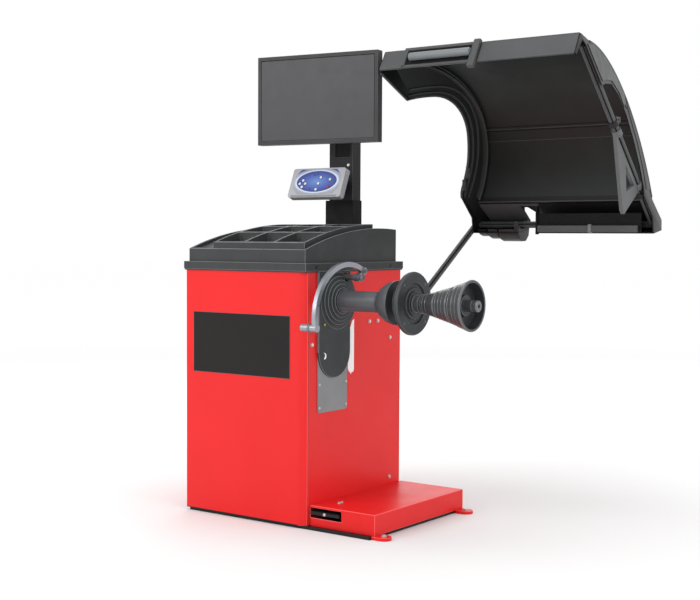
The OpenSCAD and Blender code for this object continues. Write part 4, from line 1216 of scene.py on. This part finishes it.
@dataclass
class DistanceGauge:
    """Pull-out distance gauge with its backing plate and curved arm."""

    rod: Flat = (-80.0, 788.0)
    plate: float = 93.0
    pin: Flat = (-192.0, 640.0)
    head: Flat = (-57.0, 808.8)
    tip: Flat = (-304.8, 636.8)

    def build(self) -> None:
        """Build the plate, the arm and the rod."""
        # The plate's and the shroud's rounded edges take the pale grey: a painted highlight.
        soften("gauge_plate", "gauge_backing", GAUGE_PLASTIC, Body.CABINET, 1.4, PALE_GREY_AND_EDGE_HIGHLIGHT)
        soften("spindle_dome", "spindle_shroud", GAUGE_PLASTIC, Body.CABINET, 1.2, PALE_GREY_AND_EDGE_HIGHLIGHT, angle=20)
        soften("slot_cover", "slot_cover_sheet", COVER_PAINT, Body.CABINET, 0.6)
        soften("gauge_rod", "gauge_slide_bar", ALUMINIUM, Body.GAUGE_ROD, 1.0)
        soften("gauge_arm", "gauge_arm_casting", ALUMINIUM, Body.GAUGE_ARM, 1.6, segments=3)
        soften("gauge_tip", "gauge_tip_pin", ALUMINIUM, Body.GAUGE_ARM, 1.2, segments=3)

    def dress(self) -> None:
        """Add the brass pin, a painted highlight strip along the plate's edge, the scale and the arm's
        collars.
        """
        pin = Form().rod((self.plate, *self.pin), (self.plate + 3, *self.pin), 4.5, 1.0, 28)
        pin.finish("gauge_pin", BRASS, Body.CABINET)
        crescent = arc((0, 0), 11, -80, 110, 14) + arc((-3.5, 2.0), 8.5, 100, -70, 12)
        moon = [(y + self.pin[0], z + 540.0) for y, z in crescent]
        mark = Form().plate(moon, self.plate + 0.05, self.plate + 0.5)
        mark.finish("gauge_plate_mark", LABEL_PAPER, Body.CABINET)
        # Pale grey strip on the plate's front edge: a painted highlight.
        highlight_strip = Form().block((self.plate - 7.8, -220.2, 552.0), (self.plate - 0.3, -218.9, 806.0), 0.5)
        highlight_strip.finish("gauge_edge_highlight_strip", PALE_GREY_AND_EDGE_HIGHLIGHT, Body.CABINET)
        ribs = Form()
        for radius in (108.0, 126.0, 138.0):
            path = [(self.plate + 0.8, y, z) for y, z in arc((-140.0, 665.0), radius, 100, 160, 30)
                    if y > -217 and z < 800 and math.hypot(y - SPINDLE_Y, z - SPINDLE_Z) > 94]
            if len(path) > 3:
                ribs.sweep(path, square_section(3.0, 3.2), (1, 0, 0))
        ribs.finish("gauge_plate_ribs", PALE_GREY_AND_EDGE_HIGHLIGHT, Body.CABINET)
        head = Form()
        y, z = self.head
        head.turned([(2, 154.8), (8, 154.8), (8, 157.5), (6.8, 158.6), (2, 158.6)], y, z, 48)
        head.rod((157.9, y, z), (160.5, y, z), 3.4, 0.4, 6)
        head.turned([(12.4, 120.0), (14.2, 120.8), (14.2, 128.2), (12.4, 129.0)], *self.tip, 64)
        head.turned([(9.2, 158.0), (12.0, 158.0), (12.8, 160.0), (12.0, 162.0), (9.2, 162.0)], *self.rod, 48)
        head.finish("gauge_arm_collars", BRIGHT_STEEL_AND_RIM_HIGHLIGHT, Body.GAUGE_ARM)
        marks = Form()
        for index in range(15):
            x = 100.0 + 2.4 * index
            marks.turned([(8.8, x), (9.25, x + 0.1), (9.25, x + 0.4), (8.8, x + 0.5)], *self.rod, 40)
        marks.finish("gauge_scale_lines", BLACK_PAINT, Body.GAUGE_ROD)


@dataclass
class Hood:
    """Moulded wheel hood: shell, lip with its handle, ribs, bottom ledge and side skins."""

    lip: Flat = (51.0, 1463.0)
    centre: Flat = (170.0, 1030.0)
    radius: float = 485.0
    left: float = 133.0
    right: float = 833.0
    left_lean: float = 0.58
    right_lean: float = 0.25
    slope: Flat = (0.678, 0.735)
    lip_top: Flat = (85.0, 1525.0)
    arch: tuple[Flat, ...] = (
        (208.0, 1378.0), (280.0, 1396.0), (350.0, 1402.0), (420.0, 1375.0), (485.0, 1315.0), (530.0, 1230.0),
        (555.0, 1155.0), (565.0, 1060.0),
    )

    def depth(self, y: float, z: float) -> float:
        """Distance behind the plane of the opening."""
        return max(0.0, (y - self.lip_top[0]) * self.slope[0] + (z - self.lip_top[1]) * self.slope[1])

    def left_wall(self, y: float, z: float) -> float:
        """X of the left wall's outer face."""
        return self.left + self.left_lean * self.depth(y, z)

    def right_wall(self, y: float, z: float) -> float:
        """X of the right wall's outer face."""
        return self.right - self.right_lean * self.depth(y, z)

    def build(self) -> None:
        """Build the shell."""
        # The shell's rounded edges take the lighter hood grey: a painted highlight.
        soften("hood_shell", "hood_moulding", HOOD_PLASTIC, Body.HOOD, 1.3, HOOD_TRIM_AND_EDGE_HIGHLIGHT)
        self.build_lip()
        self.build_bottom()

    def dress(self) -> None:
        """Add the back sheet, the wall ribs, the seams and the outer skins."""
        self.build_sheet()
        self.build_rivets()
        self.build_left_wall()
        self.build_right_wall()

    def lip_place(self) -> Matrix:
        """The lip's frame: across, up the lip, out of the lip."""
        axes = Matrix(((1, 0, 0), (0, 0.481, -0.877), (0, 0.877, 0.481))).to_4x4()
        return Matrix.Translation((0, *self.lip)) @ axes

    def build_lip(self) -> None:
        """Front lip with its caps, the recess and the grab bar."""
        place = self.lip_place()
        start, end = 497, 829
        band = Form()
        band.block((start, -1, -1), (end, 71, 2.5), 2.0, place)
        band.block((134, -6, -1), (221, 66, 9), 4.0, place, 3)
        band.block((214, 60, -2), (480, 72, 9), 3.0, place, 3)
        band.block((214, -3, -2), (480, 7, 6), 2.5, place)
        band.block((214, 2, -2), (230, 68, 10), 3.0, place)
        band.finish("hood_lip_band", HOOD_GREY, Body.HOOD)
        rib = Form()
        rib.block((470, -22, -3), (495, 80, 13), 4.0, place, 3)
        rib.finish("hood_lip_rib", HOOD_GREY, Body.HOOD)
        recess = Form().block((222, 4, -1), (476, 64, 0.8), 0.6, place)
        recess.finish("hood_lip_recess", RUBBER, Body.HOOD)
        bar = Form().rod((243, 33, 11), (470, 33, 11), 13, 5.0, 40, place=place)
        bar.finish("hood_grab_bar", PALE_GREY_AND_EDGE_HIGHLIGHT, Body.HOOD)
        roll = Form()
        for up in (0, 70):
            roll.rod((start, up, 0), (end, up, 0), 3.2, 1.0, 20, place=place)
        roll.finish("hood_lip_rolls", HOOD_TRIM_AND_EDGE_HIGHLIGHT, Body.HOOD)

    def inside(self, angle: float, lift: float, margin: float = 3.0) -> tuple[Point, Point]:
        """End points of a line across the inner back sheet.

        Args:
            angle: Angle round the hood's centre in degrees.
            lift: Distance off the inner face.
            margin: Gap to each wall.

        Returns:
            The left and the right end.
        """
        reach = self.radius - 4 - lift
        y = self.centre[0] + reach * math.cos(math.radians(angle))
        z = self.centre[1] + reach * math.sin(math.radians(angle))
        return (self.left_wall(y, z) + 4 + margin, y, z), (self.right_wall(y, z) - 4 - margin, y, z)

    def build_sheet(self) -> None:
        """Dark lining on the back sheet, its seams and its screws."""
        sheet = bmesh.new()
        rows = [self.inside(86 - 2 * index, 0.6) for index in range(42)]
        across = 12
        grid = [
            [sheet.verts.new((a[0] + (b[0] - a[0]) * s / across, a[1], a[2])) for s in range(across + 1)]
            for a, b in rows
        ]
        for low, high in zip(grid, grid[1:]):
            for s in range(across):
                sheet.faces.new((low[s], low[s + 1], high[s + 1], high[s]))
        bmesh.ops.recalc_face_normals(sheet, faces=sheet.faces)
        bmesh.ops.solidify(sheet, geom=sheet.faces[:], thickness=0.8)
        Form().take(sheet).finish("hood_lining", HOOD_INNER, Body.HOOD)
        seams = Form()
        for angle, radius in ((34.0, 1.5), (28.5, 1.2)):
            start, end = self.inside(angle, 1.6)
            seams.rod(start, end, radius, 0.4, 12)
        seams.finish("hood_seams", HOOD_TRIM_AND_EDGE_HIGHLIGHT, Body.HOOD)
        gap = Form()
        for angle in (33.2, 35.0):
            start, end = self.inside(angle, 1.2)
            gap.rod(start, end, 1.4, 0.3, 10)
        gap.finish("hood_seam_gaps", RUBBER, Body.HOOD)

    def wall_arch(self, grow: float) -> list[Flat]:
        """Points of a smooth line along the left wall's arch.

        Args:
            grow: Distance outwards from the arch's edge.

        Returns:
            The (y, z) points.
        """
        points = [Vector(p) for p in self.arch]
        for _ in range(2):
            cut = [points[0]]
            for one, two in zip(points, points[1:]):
                cut += [one.lerp(two, 0.25), one.lerp(two, 0.75)]
            points = [*cut, points[-1]]
        middle = Vector(self.centre)
        return [tuple(p + (p - middle).normalized() * grow) for p in points]

    def build_rivets(self) -> None:
        """Rivet heads along the outer sheet's two edges."""
        rivets = Form()
        for angle in range(80, 8, -12):
            away = Vector((0, math.cos(math.radians(angle)), math.sin(math.radians(angle))))
            at = Vector((0, *self.centre)) + away * (self.radius - 0.5)
            for x in (self.left_wall(at.y, at.z) + 22, self.right_wall(at.y, at.z) - 22):
                seat = Vector((x, at.y, at.z))
                rivets.rod(seat, seat + away * 2.5, 5.0, 1.4, 20)
        rivets.finish("hood_rivets", HOOD_TRIM_AND_EDGE_HIGHLIGHT, Body.HOOD)

    def build_left_wall(self) -> None:
        """Ribs, a fillet, brackets and a bead on the left wall's inner face."""
        ribs = Form()
        for grow, width, height in ((14.0, 4.0, 6.0), (34.0, 5.0, 5.0)):
            path = [(self.left_wall(y, z) + 5.5 + height / 4, y, z) for y, z in self.wall_arch(grow)
                    if math.hypot(y - self.centre[0], z - self.centre[1]) < self.radius - 9]
            ribs.sweep(path, square_section(height, width), (1, 0, 0))
        ribs.finish("hood_wall_ribs", HOOD_TRIM_AND_EDGE_HIGHLIGHT, Body.HOOD)
        fillet = Form()
        path = []
        for angle in range(88, 3, -3):
            reach = self.radius - 10
            y = self.centre[0] + reach * math.cos(math.radians(angle))
            z = self.centre[1] + reach * math.sin(math.radians(angle))
            path.append((self.left_wall(y, z) + 9, y, z))
        fillet.sweep(path, [(-7, -9), (9, 9), (3, 12), (-10, 12), (-10, -7)], (1, 0, 0))
        fillet.finish("hood_wall_fillet", HOOD_FILLET, Body.HOOD, angle=50)
        strips = Form()
        for y, z, turn in ((556, 1150, 8), (560, 1105, 4)):
            x = self.left_wall(y, z) + 5
            place = Matrix.Translation((x, y, z)) @ Matrix.Rotation(math.radians(turn), 4, "X")
            strips.block((0, -9, -20), (5, 9, 20), 1.5, place)
            strips.block((4, -3, -16), (9, 3, 16), 1.2, place)
        strips.finish("hood_wall_brackets", HOOD_GREY, Body.HOOD)
        bead = Form()
        ring = round_section(4.0, 10)
        for line in (self.wall_arch(1.0), [(208, 1379), (130, 1415), (53, 1451)]):
            bead.sweep([(self.left_wall(y, z) + 2, y, z) for y, z in line], ring, (1, 0, 0))
        bead.finish("hood_arch_bead", HOOD_TRIM_AND_EDGE_HIGHLIGHT, Body.HOOD)

    def build_right_wall(self) -> None:
        """Grey outer skin of the right wall with its stepped end, and the rolled outer corner."""
        shear = Matrix.Identity(4)
        lean = self.right_lean
        shear[0][1], shear[0][2] = -lean * self.slope[0], -lean * self.slope[1]
        shear[0][3] = lean * (self.lip_top[0] * self.slope[0] + self.lip_top[1] * self.slope[1])
        outer = arc(self.centre, self.radius - 8, 88, 48, 20)
        inner = [(500, 1338), (478, 1352), (466, 1340), (430, 1382), (360, 1413), (285, 1408), (246, 1400),
                 (140, 1500)]
        skin = Form().plate([*outer, *inner], self.right - 0.4, self.right + 2.2, bevel=0.9, place=shear)
        skin.finish("hood_right_skin", HOOD_GREY, Body.HOOD)
        low_outer = arc(self.centre, self.radius - 8, 46, 6, 20)
        low_inner = [(590, 1080), (590, 1150), (566, 1236), (520, 1318)]
        lower = [*low_outer, *low_inner]
        skin = Form().plate(lower, self.right - 0.4, self.right + 1.4, bevel=0.6, place=shear)
        skin.finish("hood_right_lower_skin", HOOD_PLASTIC, Body.HOOD)
        roll = Form()
        ring = round_section(5.0, 12)
        for side, wall in ((-1, self.right_wall), (1, self.left_wall)):
            path = [(wall(y, z) + 2.5 * side, y, z) for y, z in arc(self.centre, self.radius - 4, 90, 3, 44)]
            roll.sweep(path, ring, (1, 0, 0))
        roll.finish("hood_corner_rolls", HOOD_TRIM_AND_EDGE_HIGHLIGHT, Body.HOOD)

    def pan_strip(self, start: float, end: float) -> list[Flat]:
        """Outline of a thin lining on the pan's sloping inner face.

        Args:
            start: Start along the face, 0 to 1.
            end: End along the face, 0 to 1.

        Returns:
            The (y, z) outline.
        """
        high, low = Vector((654.7, 1046.9)), Vector((742.0, 981.0))
        inward = Vector((-0.603, -0.797))
        line = [high.lerp(low, t) for t in (start, end)]
        return [tuple(p + inward * 4.3) for p in line] + [tuple(p + inward * 6.0) for p in line[::-1]]

    def build_bottom(self) -> None:
        """Ledge, horn, a black block as painted shade in the slot, and bar along the bottom pan."""
        ledge = Form()
        start, end = self.inside(2.0, 3.0)
        ledge.rod(start, end, 2.5, 0.8, 20)
        ledge.finish("hood_ledge", HOOD_TRIM_AND_EDGE_HIGHLIGHT, Body.HOOD)
        pan = Form().plate(self.pan_strip(0.06, 0.94), 148, 320)
        pan.plate(self.pan_strip(0.06, 0.17), 319, 394)
        pan.finish("hood_pan_lining", HOOD_GREY, Body.HOOD)
        Form().plate(self.pan_strip(0.06, 0.94), 395, 800).finish("hood_pan_dark_lining", RUBBER, Body.HOOD)
        horn = Form()
        for x0, x1, drop in ((150, 186, 18.0), (192, 232, 9.0), (238, 306, 0.0)):
            outline = [(652, 948), (654, 930 + drop), (668, 912 + drop), (690, 905 + drop),
                       (712, 908 + drop), (730, 926 + drop), (739, 976), (724, 976), (710, 938), (690, 930),
                       (672, 936), (664, 948)]
            horn.plate(outline, x0, x1, bevel=3.5)
        cap = [(648, 978), (652, 934), (664, 914), (686, 905), (712, 906), (732, 926), (741, 978), (722, 984),
               (700, 952), (672, 952)]
        horn.plate(cap, 302, 321, bevel=4.0)
        horn.finish("hood_horn", HOOD_FILLET, Body.HOOD)
        # Black blocks fill the slot: painted shade of the opening.
        slot = Form().block((400, 646, 938), (790, 652, 1004), 2.0)
        slot.block((394, 640, 930), (402, 656, 1030), 2.0)
        slot.finish("hood_slot_painted_shade", RUBBER, Body.HOOD)
        bar = Form().block((404, 634, 938), (780, 645, 962), 3.0, segments=3)
        bar.finish("hood_bottom_bar", HOOD_GREY, Body.HOOD)
        cap = Form().block((600, 630, 936), (612, 648, 966), 3.0, segments=3)
        cap.finish("hood_bar_cap", PALE_GREY_AND_EDGE_HIGHLIGHT, Body.HOOD)


@dataclass
class HoodFrame:
    """Grooved steel tube that carries the hood, and its clamps."""

    x0: float = 117.0
    x1: float = 809.0
    pivot: Flat = (287.0, 678.0)
    low: Flat = (700.0, 965.0)
    high: Flat = (132.0, 1511.0)
    radius: float = 12.0
    bend: float = 26.0

    def section(self) -> list[Flat]:
        """Round section with four grooves.

        Returns:
            Points round the section.
        """
        ring = []
        for index in range(48):
            angle = math.tau * index / 48
            radius = self.radius - (3.2 if index % 12 in (5, 6, 7) else 0.0)
            ring.append((radius * math.cos(angle), radius * math.sin(angle)))
        return ring

    def path(self) -> list[Point]:
        """Centre line with rounded bends.

        Returns:
            Points along the line.
        """
        corners = [Vector(p) for p in ((self.x0, *self.pivot), (self.x0, *self.low), (self.x1, *self.low),
                                       (self.x1, *self.high))]
        line = [corners[0]]
        for before, corner, after in zip(corners, corners[1:], corners[2:]):
            start = corner + (before - corner).normalized() * self.bend
            end = corner + (after - corner).normalized() * self.bend
            line += [start.lerp(corner, t).lerp(corner.lerp(end, t), t) for t in [i / 8 for i in range(9)]]
        return [tuple(p) for p in [*line, corners[-1]]]

    def build(self) -> None:
        """Build the tube."""
        tube = Form().sweep(self.path(), self.section(), (0.0, -0.571, 0.821))
        tube.rod((103, *self.pivot), (131, *self.pivot), self.radius + 8, 2.5, 48)
        tube.rod((-176, *self.pivot), (117, *self.pivot), self.radius - 1, 1.0, 40)
        tube.finish("hood_tube", HOOD_GREY, Body.HOOD, ("hood_frame",), angle=30)

    def dress(self) -> None:
        """Add black strips in the grooves, the end cap and the clamps."""
        strips = Form()
        points = [Vector(p) for p in self.path()]
        for start, end in zip(points, points[1:]):
            if (end - start).length > 60:
                strips.rod(start, end, self.radius - 2.4, 0, 24)
        strips.finish("hood_tube_inserts", RUBBER, Body.HOOD)
        cap = Form()
        along = (points[-1] - points[-2]).normalized()
        cap.rod(points[-1] - along * 14, points[-1] + along * 3, self.radius + 3.5, 3.0, 32)
        cap.block((-16, -12, -13), (14, 14, 10), 5.0, Matrix.Translation(points[-1] + Vector((0, 2, -6))), 3)
        cap.finish("hood_tube_cap", RUBBER, Body.HOOD)
        soften("hood_clamps", "hood_clamp_pair", BLACK_PAINT, Body.HOOD, 1.2)
        soften("hood_bracket", "hood_hinge_bracket", BLACK_PAINT, Body.CABINET, 1.0)
        pins = Form()
        low, high = Vector((self.x1, *self.low)), Vector((self.x1, *self.high))
        for t in (0.185, 0.58):
            at = low.lerp(high, t)
            pins.block((-9, -8, -9), (9, 24, 9), 2.0, Matrix.Translation(at + Vector((0, 12, 12))))
            pins.bolt(at + Vector((9, 24, 12)), (1, 0, 0), 4.0)
        pins.finish("hood_clamp_lugs", HOOD_GREY, Body.HOOD, angle=30)


@dataclass
class WidthGauge:
    """Triangular plate that swings on the hood's diagonal tube."""

    def build(self) -> None:
        """Build the plate."""
        soften("width_gauge", "width_gauge_plate", GAUGE_SHEET, Body.WIDTH_GAUGE, 1.2, segments=2)


@dataclass
class Brake:
    """Foot pedal, its lever and the brake rod."""

    rib_x: float = 97.0
    rib_pitch: float = 12.0

    def build(self) -> None:
        """Build the pedal and the rod."""
        soften("brake_pedal", "brake_pedal_lever", BLACK_PAINT, Body.PEDAL, 1.0)
        soften("brake_rod", "brake_rod_bar", GALVANISED, Body.BRAKE_ROD, 0.8)

    def dress(self) -> None:
        """Add rubber ribs and the pedal's bolt."""
        ribs = Form()
        for index in range(9):
            x = self.rib_x + self.rib_pitch * index
            ribs.block((x, -261, 56.5), (x + self.rib_pitch / 2, -227, 60.2), 1.0)
        ribs.finish("pedal_ribs", RUBBER, Body.PEDAL)
        bolt = Form().bolt((150, -262.0, 52.8), (0, -1, 0), 4.2, socket=False)
        bolt.finish("pedal_bolt", ZINC, Body.PEDAL, angle=30)


@dataclass
class Internals:
    """Drive, sensors and electronics inside the cabinet."""

    motor: Flat = (60.0, 520.0)
    rib_x: float = -104.0
    rib_pitch: float = 11.0
    table: tuple[tuple[str, str, Finish, Body, float], ...] = (
        ("spindle_bracket", "spindle_bracket_plate", GALVANISED, Body.CABINET, 0.8),
        ("force_sensors", "force_sensor_discs", BRASS, Body.CABINET, 0.8),
        ("spindle_bearings", "spindle_bearing_rings", SHAFT_STEEL, Body.CABINET, 0.6),
        ("drive_motor", "drive_motor_case", BLACK_PAINT, Body.CABINET, 1.5),
        ("drive_belt", "drive_belt_loop", RUBBER, Body.CABINET, 0.6),
        ("circuit_board", "circuit_board_parts", BOARD, Body.CABINET, 0.4),
        ("gauge_guide", "gauge_guide_tube", GALVANISED, Body.CABINET, 0.8),
        ("spindle_pulley", "spindle_drum", TUBE_STEEL, Body.SPINDLE, 0.8),
        ("encoder_disc", "encoder_disc_plate", ALUMINIUM, Body.SPINDLE, 0.3),
        ("motor_pulley", "motor_pulley_turned", MOTOR_STEEL, Body.MOTOR, 0.8),
    )

    def build(self) -> None:
        """Build every internal part."""
        for node, name, finish, body, width in self.table:
            soften(node, name, finish, body, width)

    def dress(self) -> None:
        """Add the motor's cooling ribs."""
        ribs = Form()
        for index in range(5):
            x = self.rib_x + self.rib_pitch * index
            ribs.turned([(45.5, x), (49.0, x + 0.5), (49.0, x + 2.5), (45.5, x + 3.0)], *self.motor, 72)
        ribs.finish("motor_ribs", BLACK_PAINT, Body.CABINET)


@dataclass(frozen=True)
class FloorWithPaintedShadow(Finish):
    """Pale studio floor with a painted shadow: darker near the machine."""

    def colouring(self, nodes: Nodes) -> Socket:
        """Grey that grows paler with distance, a painted shadow round the machine.

        Args:
            nodes: The material's nodes.

        Returns:
            The colour.
        """
        apart = nodes.add("ShaderNodeSeparateXYZ")
        nodes.link(nodes.place, apart.inputs[0])
        across = nodes.calc("MULTIPLY", apart.outputs["X"], apart.outputs["X"])
        along = nodes.calc("MULTIPLY", apart.outputs["Y"], apart.outputs["Y"])
        far = nodes.calc("MULTIPLY", nodes.calc("SQRT", nodes.calc("ADD", across, along), 0.0), 0.1)
        # Darker grey near the machine: painted shadow.
        near = shade(self.colour, 0.76)
        return nodes.ramp(far, [(0.05, near), (0.25, shade(self.colour, 0.86)), (0.8, self.colour)])


@dataclass
class Studio:
    """Camera, soft lights, floor and surroundings."""

    eye: Point = (2.552, -3.422, 0.918)
    azimuth: float = 36.14
    elevation: float = 2.81
    roll: float = 0.297
    lens: float = 66.17

    def build(self) -> None:
        """Build the whole studio."""
        self.build_camera()
        self.build_lights()
        self.build_floor()
        self.build_surroundings()

    def build_camera(self) -> None:
        """Camera at the customer's eye height, in front and to the right."""
        az, el, roll = (math.radians(a) for a in (self.azimuth, self.elevation, self.roll))
        back = Vector((math.sin(az) * math.cos(el), -math.cos(az) * math.cos(el), math.sin(el)))
        right = Vector((math.cos(az), math.sin(az), 0))
        up = back.cross(right)
        across = right * math.cos(roll) + up * math.sin(roll)
        above = up * math.cos(roll) - right * math.sin(roll)
        data = bpy.data.cameras.new("camera")
        data.lens = self.lens
        camera = bpy.data.objects.new("camera", data)
        basis = Matrix((across, above, back)).transposed().to_4x4()
        camera.matrix_world = Matrix.Translation(self.eye) @ basis
        bpy.context.scene.collection.objects.link(camera)
        bpy.context.scene.camera = camera

    def light(self, name: str, at: Point, aim: Point, size: float, power: float) -> None:
        """Add one soft square light.

        Args:
            name: Name of the light.
            at: Where it stands.
            aim: What it points at.
            size: Side of the square in metres.
            power: Power in watts.
        """
        data = bpy.data.lights.new(name, "AREA")
        data.shape = "SQUARE"
        data.size = size
        data.energy = power
        lamp = bpy.data.objects.new(name, data)
        turn = (Vector(at) - Vector(aim)).to_track_quat("Z", "Y").to_matrix().to_4x4()
        lamp.matrix_world = Matrix.Translation(at) @ turn
        bpy.context.scene.collection.objects.link(lamp)

    def build_lights(self) -> None:
        """Front, side, top and back lights."""
        self.light("front_light", (-1.6, -3.6, 2.6), (0.0, 0.0, 0.7), 2.2, 62)
        self.light("side_light", (4.2, -0.6, 2.4), (0.1, 0.0, 0.8), 2.0, 26)
        self.light("top_light", (0.2, 0.0, 4.2), (0.1, 0.0, 0.8), 2.4, 34)
        self.light("back_light", (-2.6, 3.2, 2.8), (0.1, 0.2, 0.9), 2.0, 34)

    def build_floor(self) -> None:
        """Flat floor plane."""
        form = Form()
        part = bmesh.new()
        bmesh.ops.create_grid(part, x_segments=12, y_segments=12, size=30000)
        form.take(part)
        bmesh.ops.scale(form.bm, vec=(MM, MM, MM), verts=form.bm.verts)
        mesh = bpy.data.meshes.new("floor")
        form.bm.to_mesh(mesh)
        form.bm.free()
        if mesh.polygons[0].normal.z < 0:
            mesh.flip_normals()
        pale = FloorWithPaintedShadow("studio_floor_painted_shadow", (0.995, 0.995, 0.995), 0.9, specular=0.0, mottle=0.004,
                           mottle_scale=2.0, grain=0.02)
        mesh.materials.append(pale.material())
        floor = bpy.data.objects.new("floor", mesh)
        bpy.context.scene.collection.objects.link(floor)

    def build_surroundings(self) -> None:
        """Even white surroundings."""
        world = bpy.data.worlds.new("surroundings")
        world.use_nodes = True
        background = world.node_tree.nodes["Background"]
        background.inputs["Color"].default_value = (1.0, 1.0, 1.0, 1.0)
        background.inputs["Strength"].default_value = 1.0
        bpy.context.scene.world = world
        bpy.context.scene.view_settings.view_transform = "Standard"


def main() -> None:
    """Build the machine piece by piece, then the studio."""
    logging.basicConfig(level=logging.INFO, format="%(name)s: %(message)s")
    parts = (Cabinet(), WeightTray(), Post(), Monitor(), Keypad(), Spindle(), DistanceGauge(), Hood(),
             HoodFrame(), WidthGauge(), Brake(), Internals())
    for part in parts:
        LOG.info("building %s", type(part).__name__)
        part.build()
        if hasattr(part, "dress"):
            part.dress()
    Studio().build()


if __name__ == "__main__":
    main()
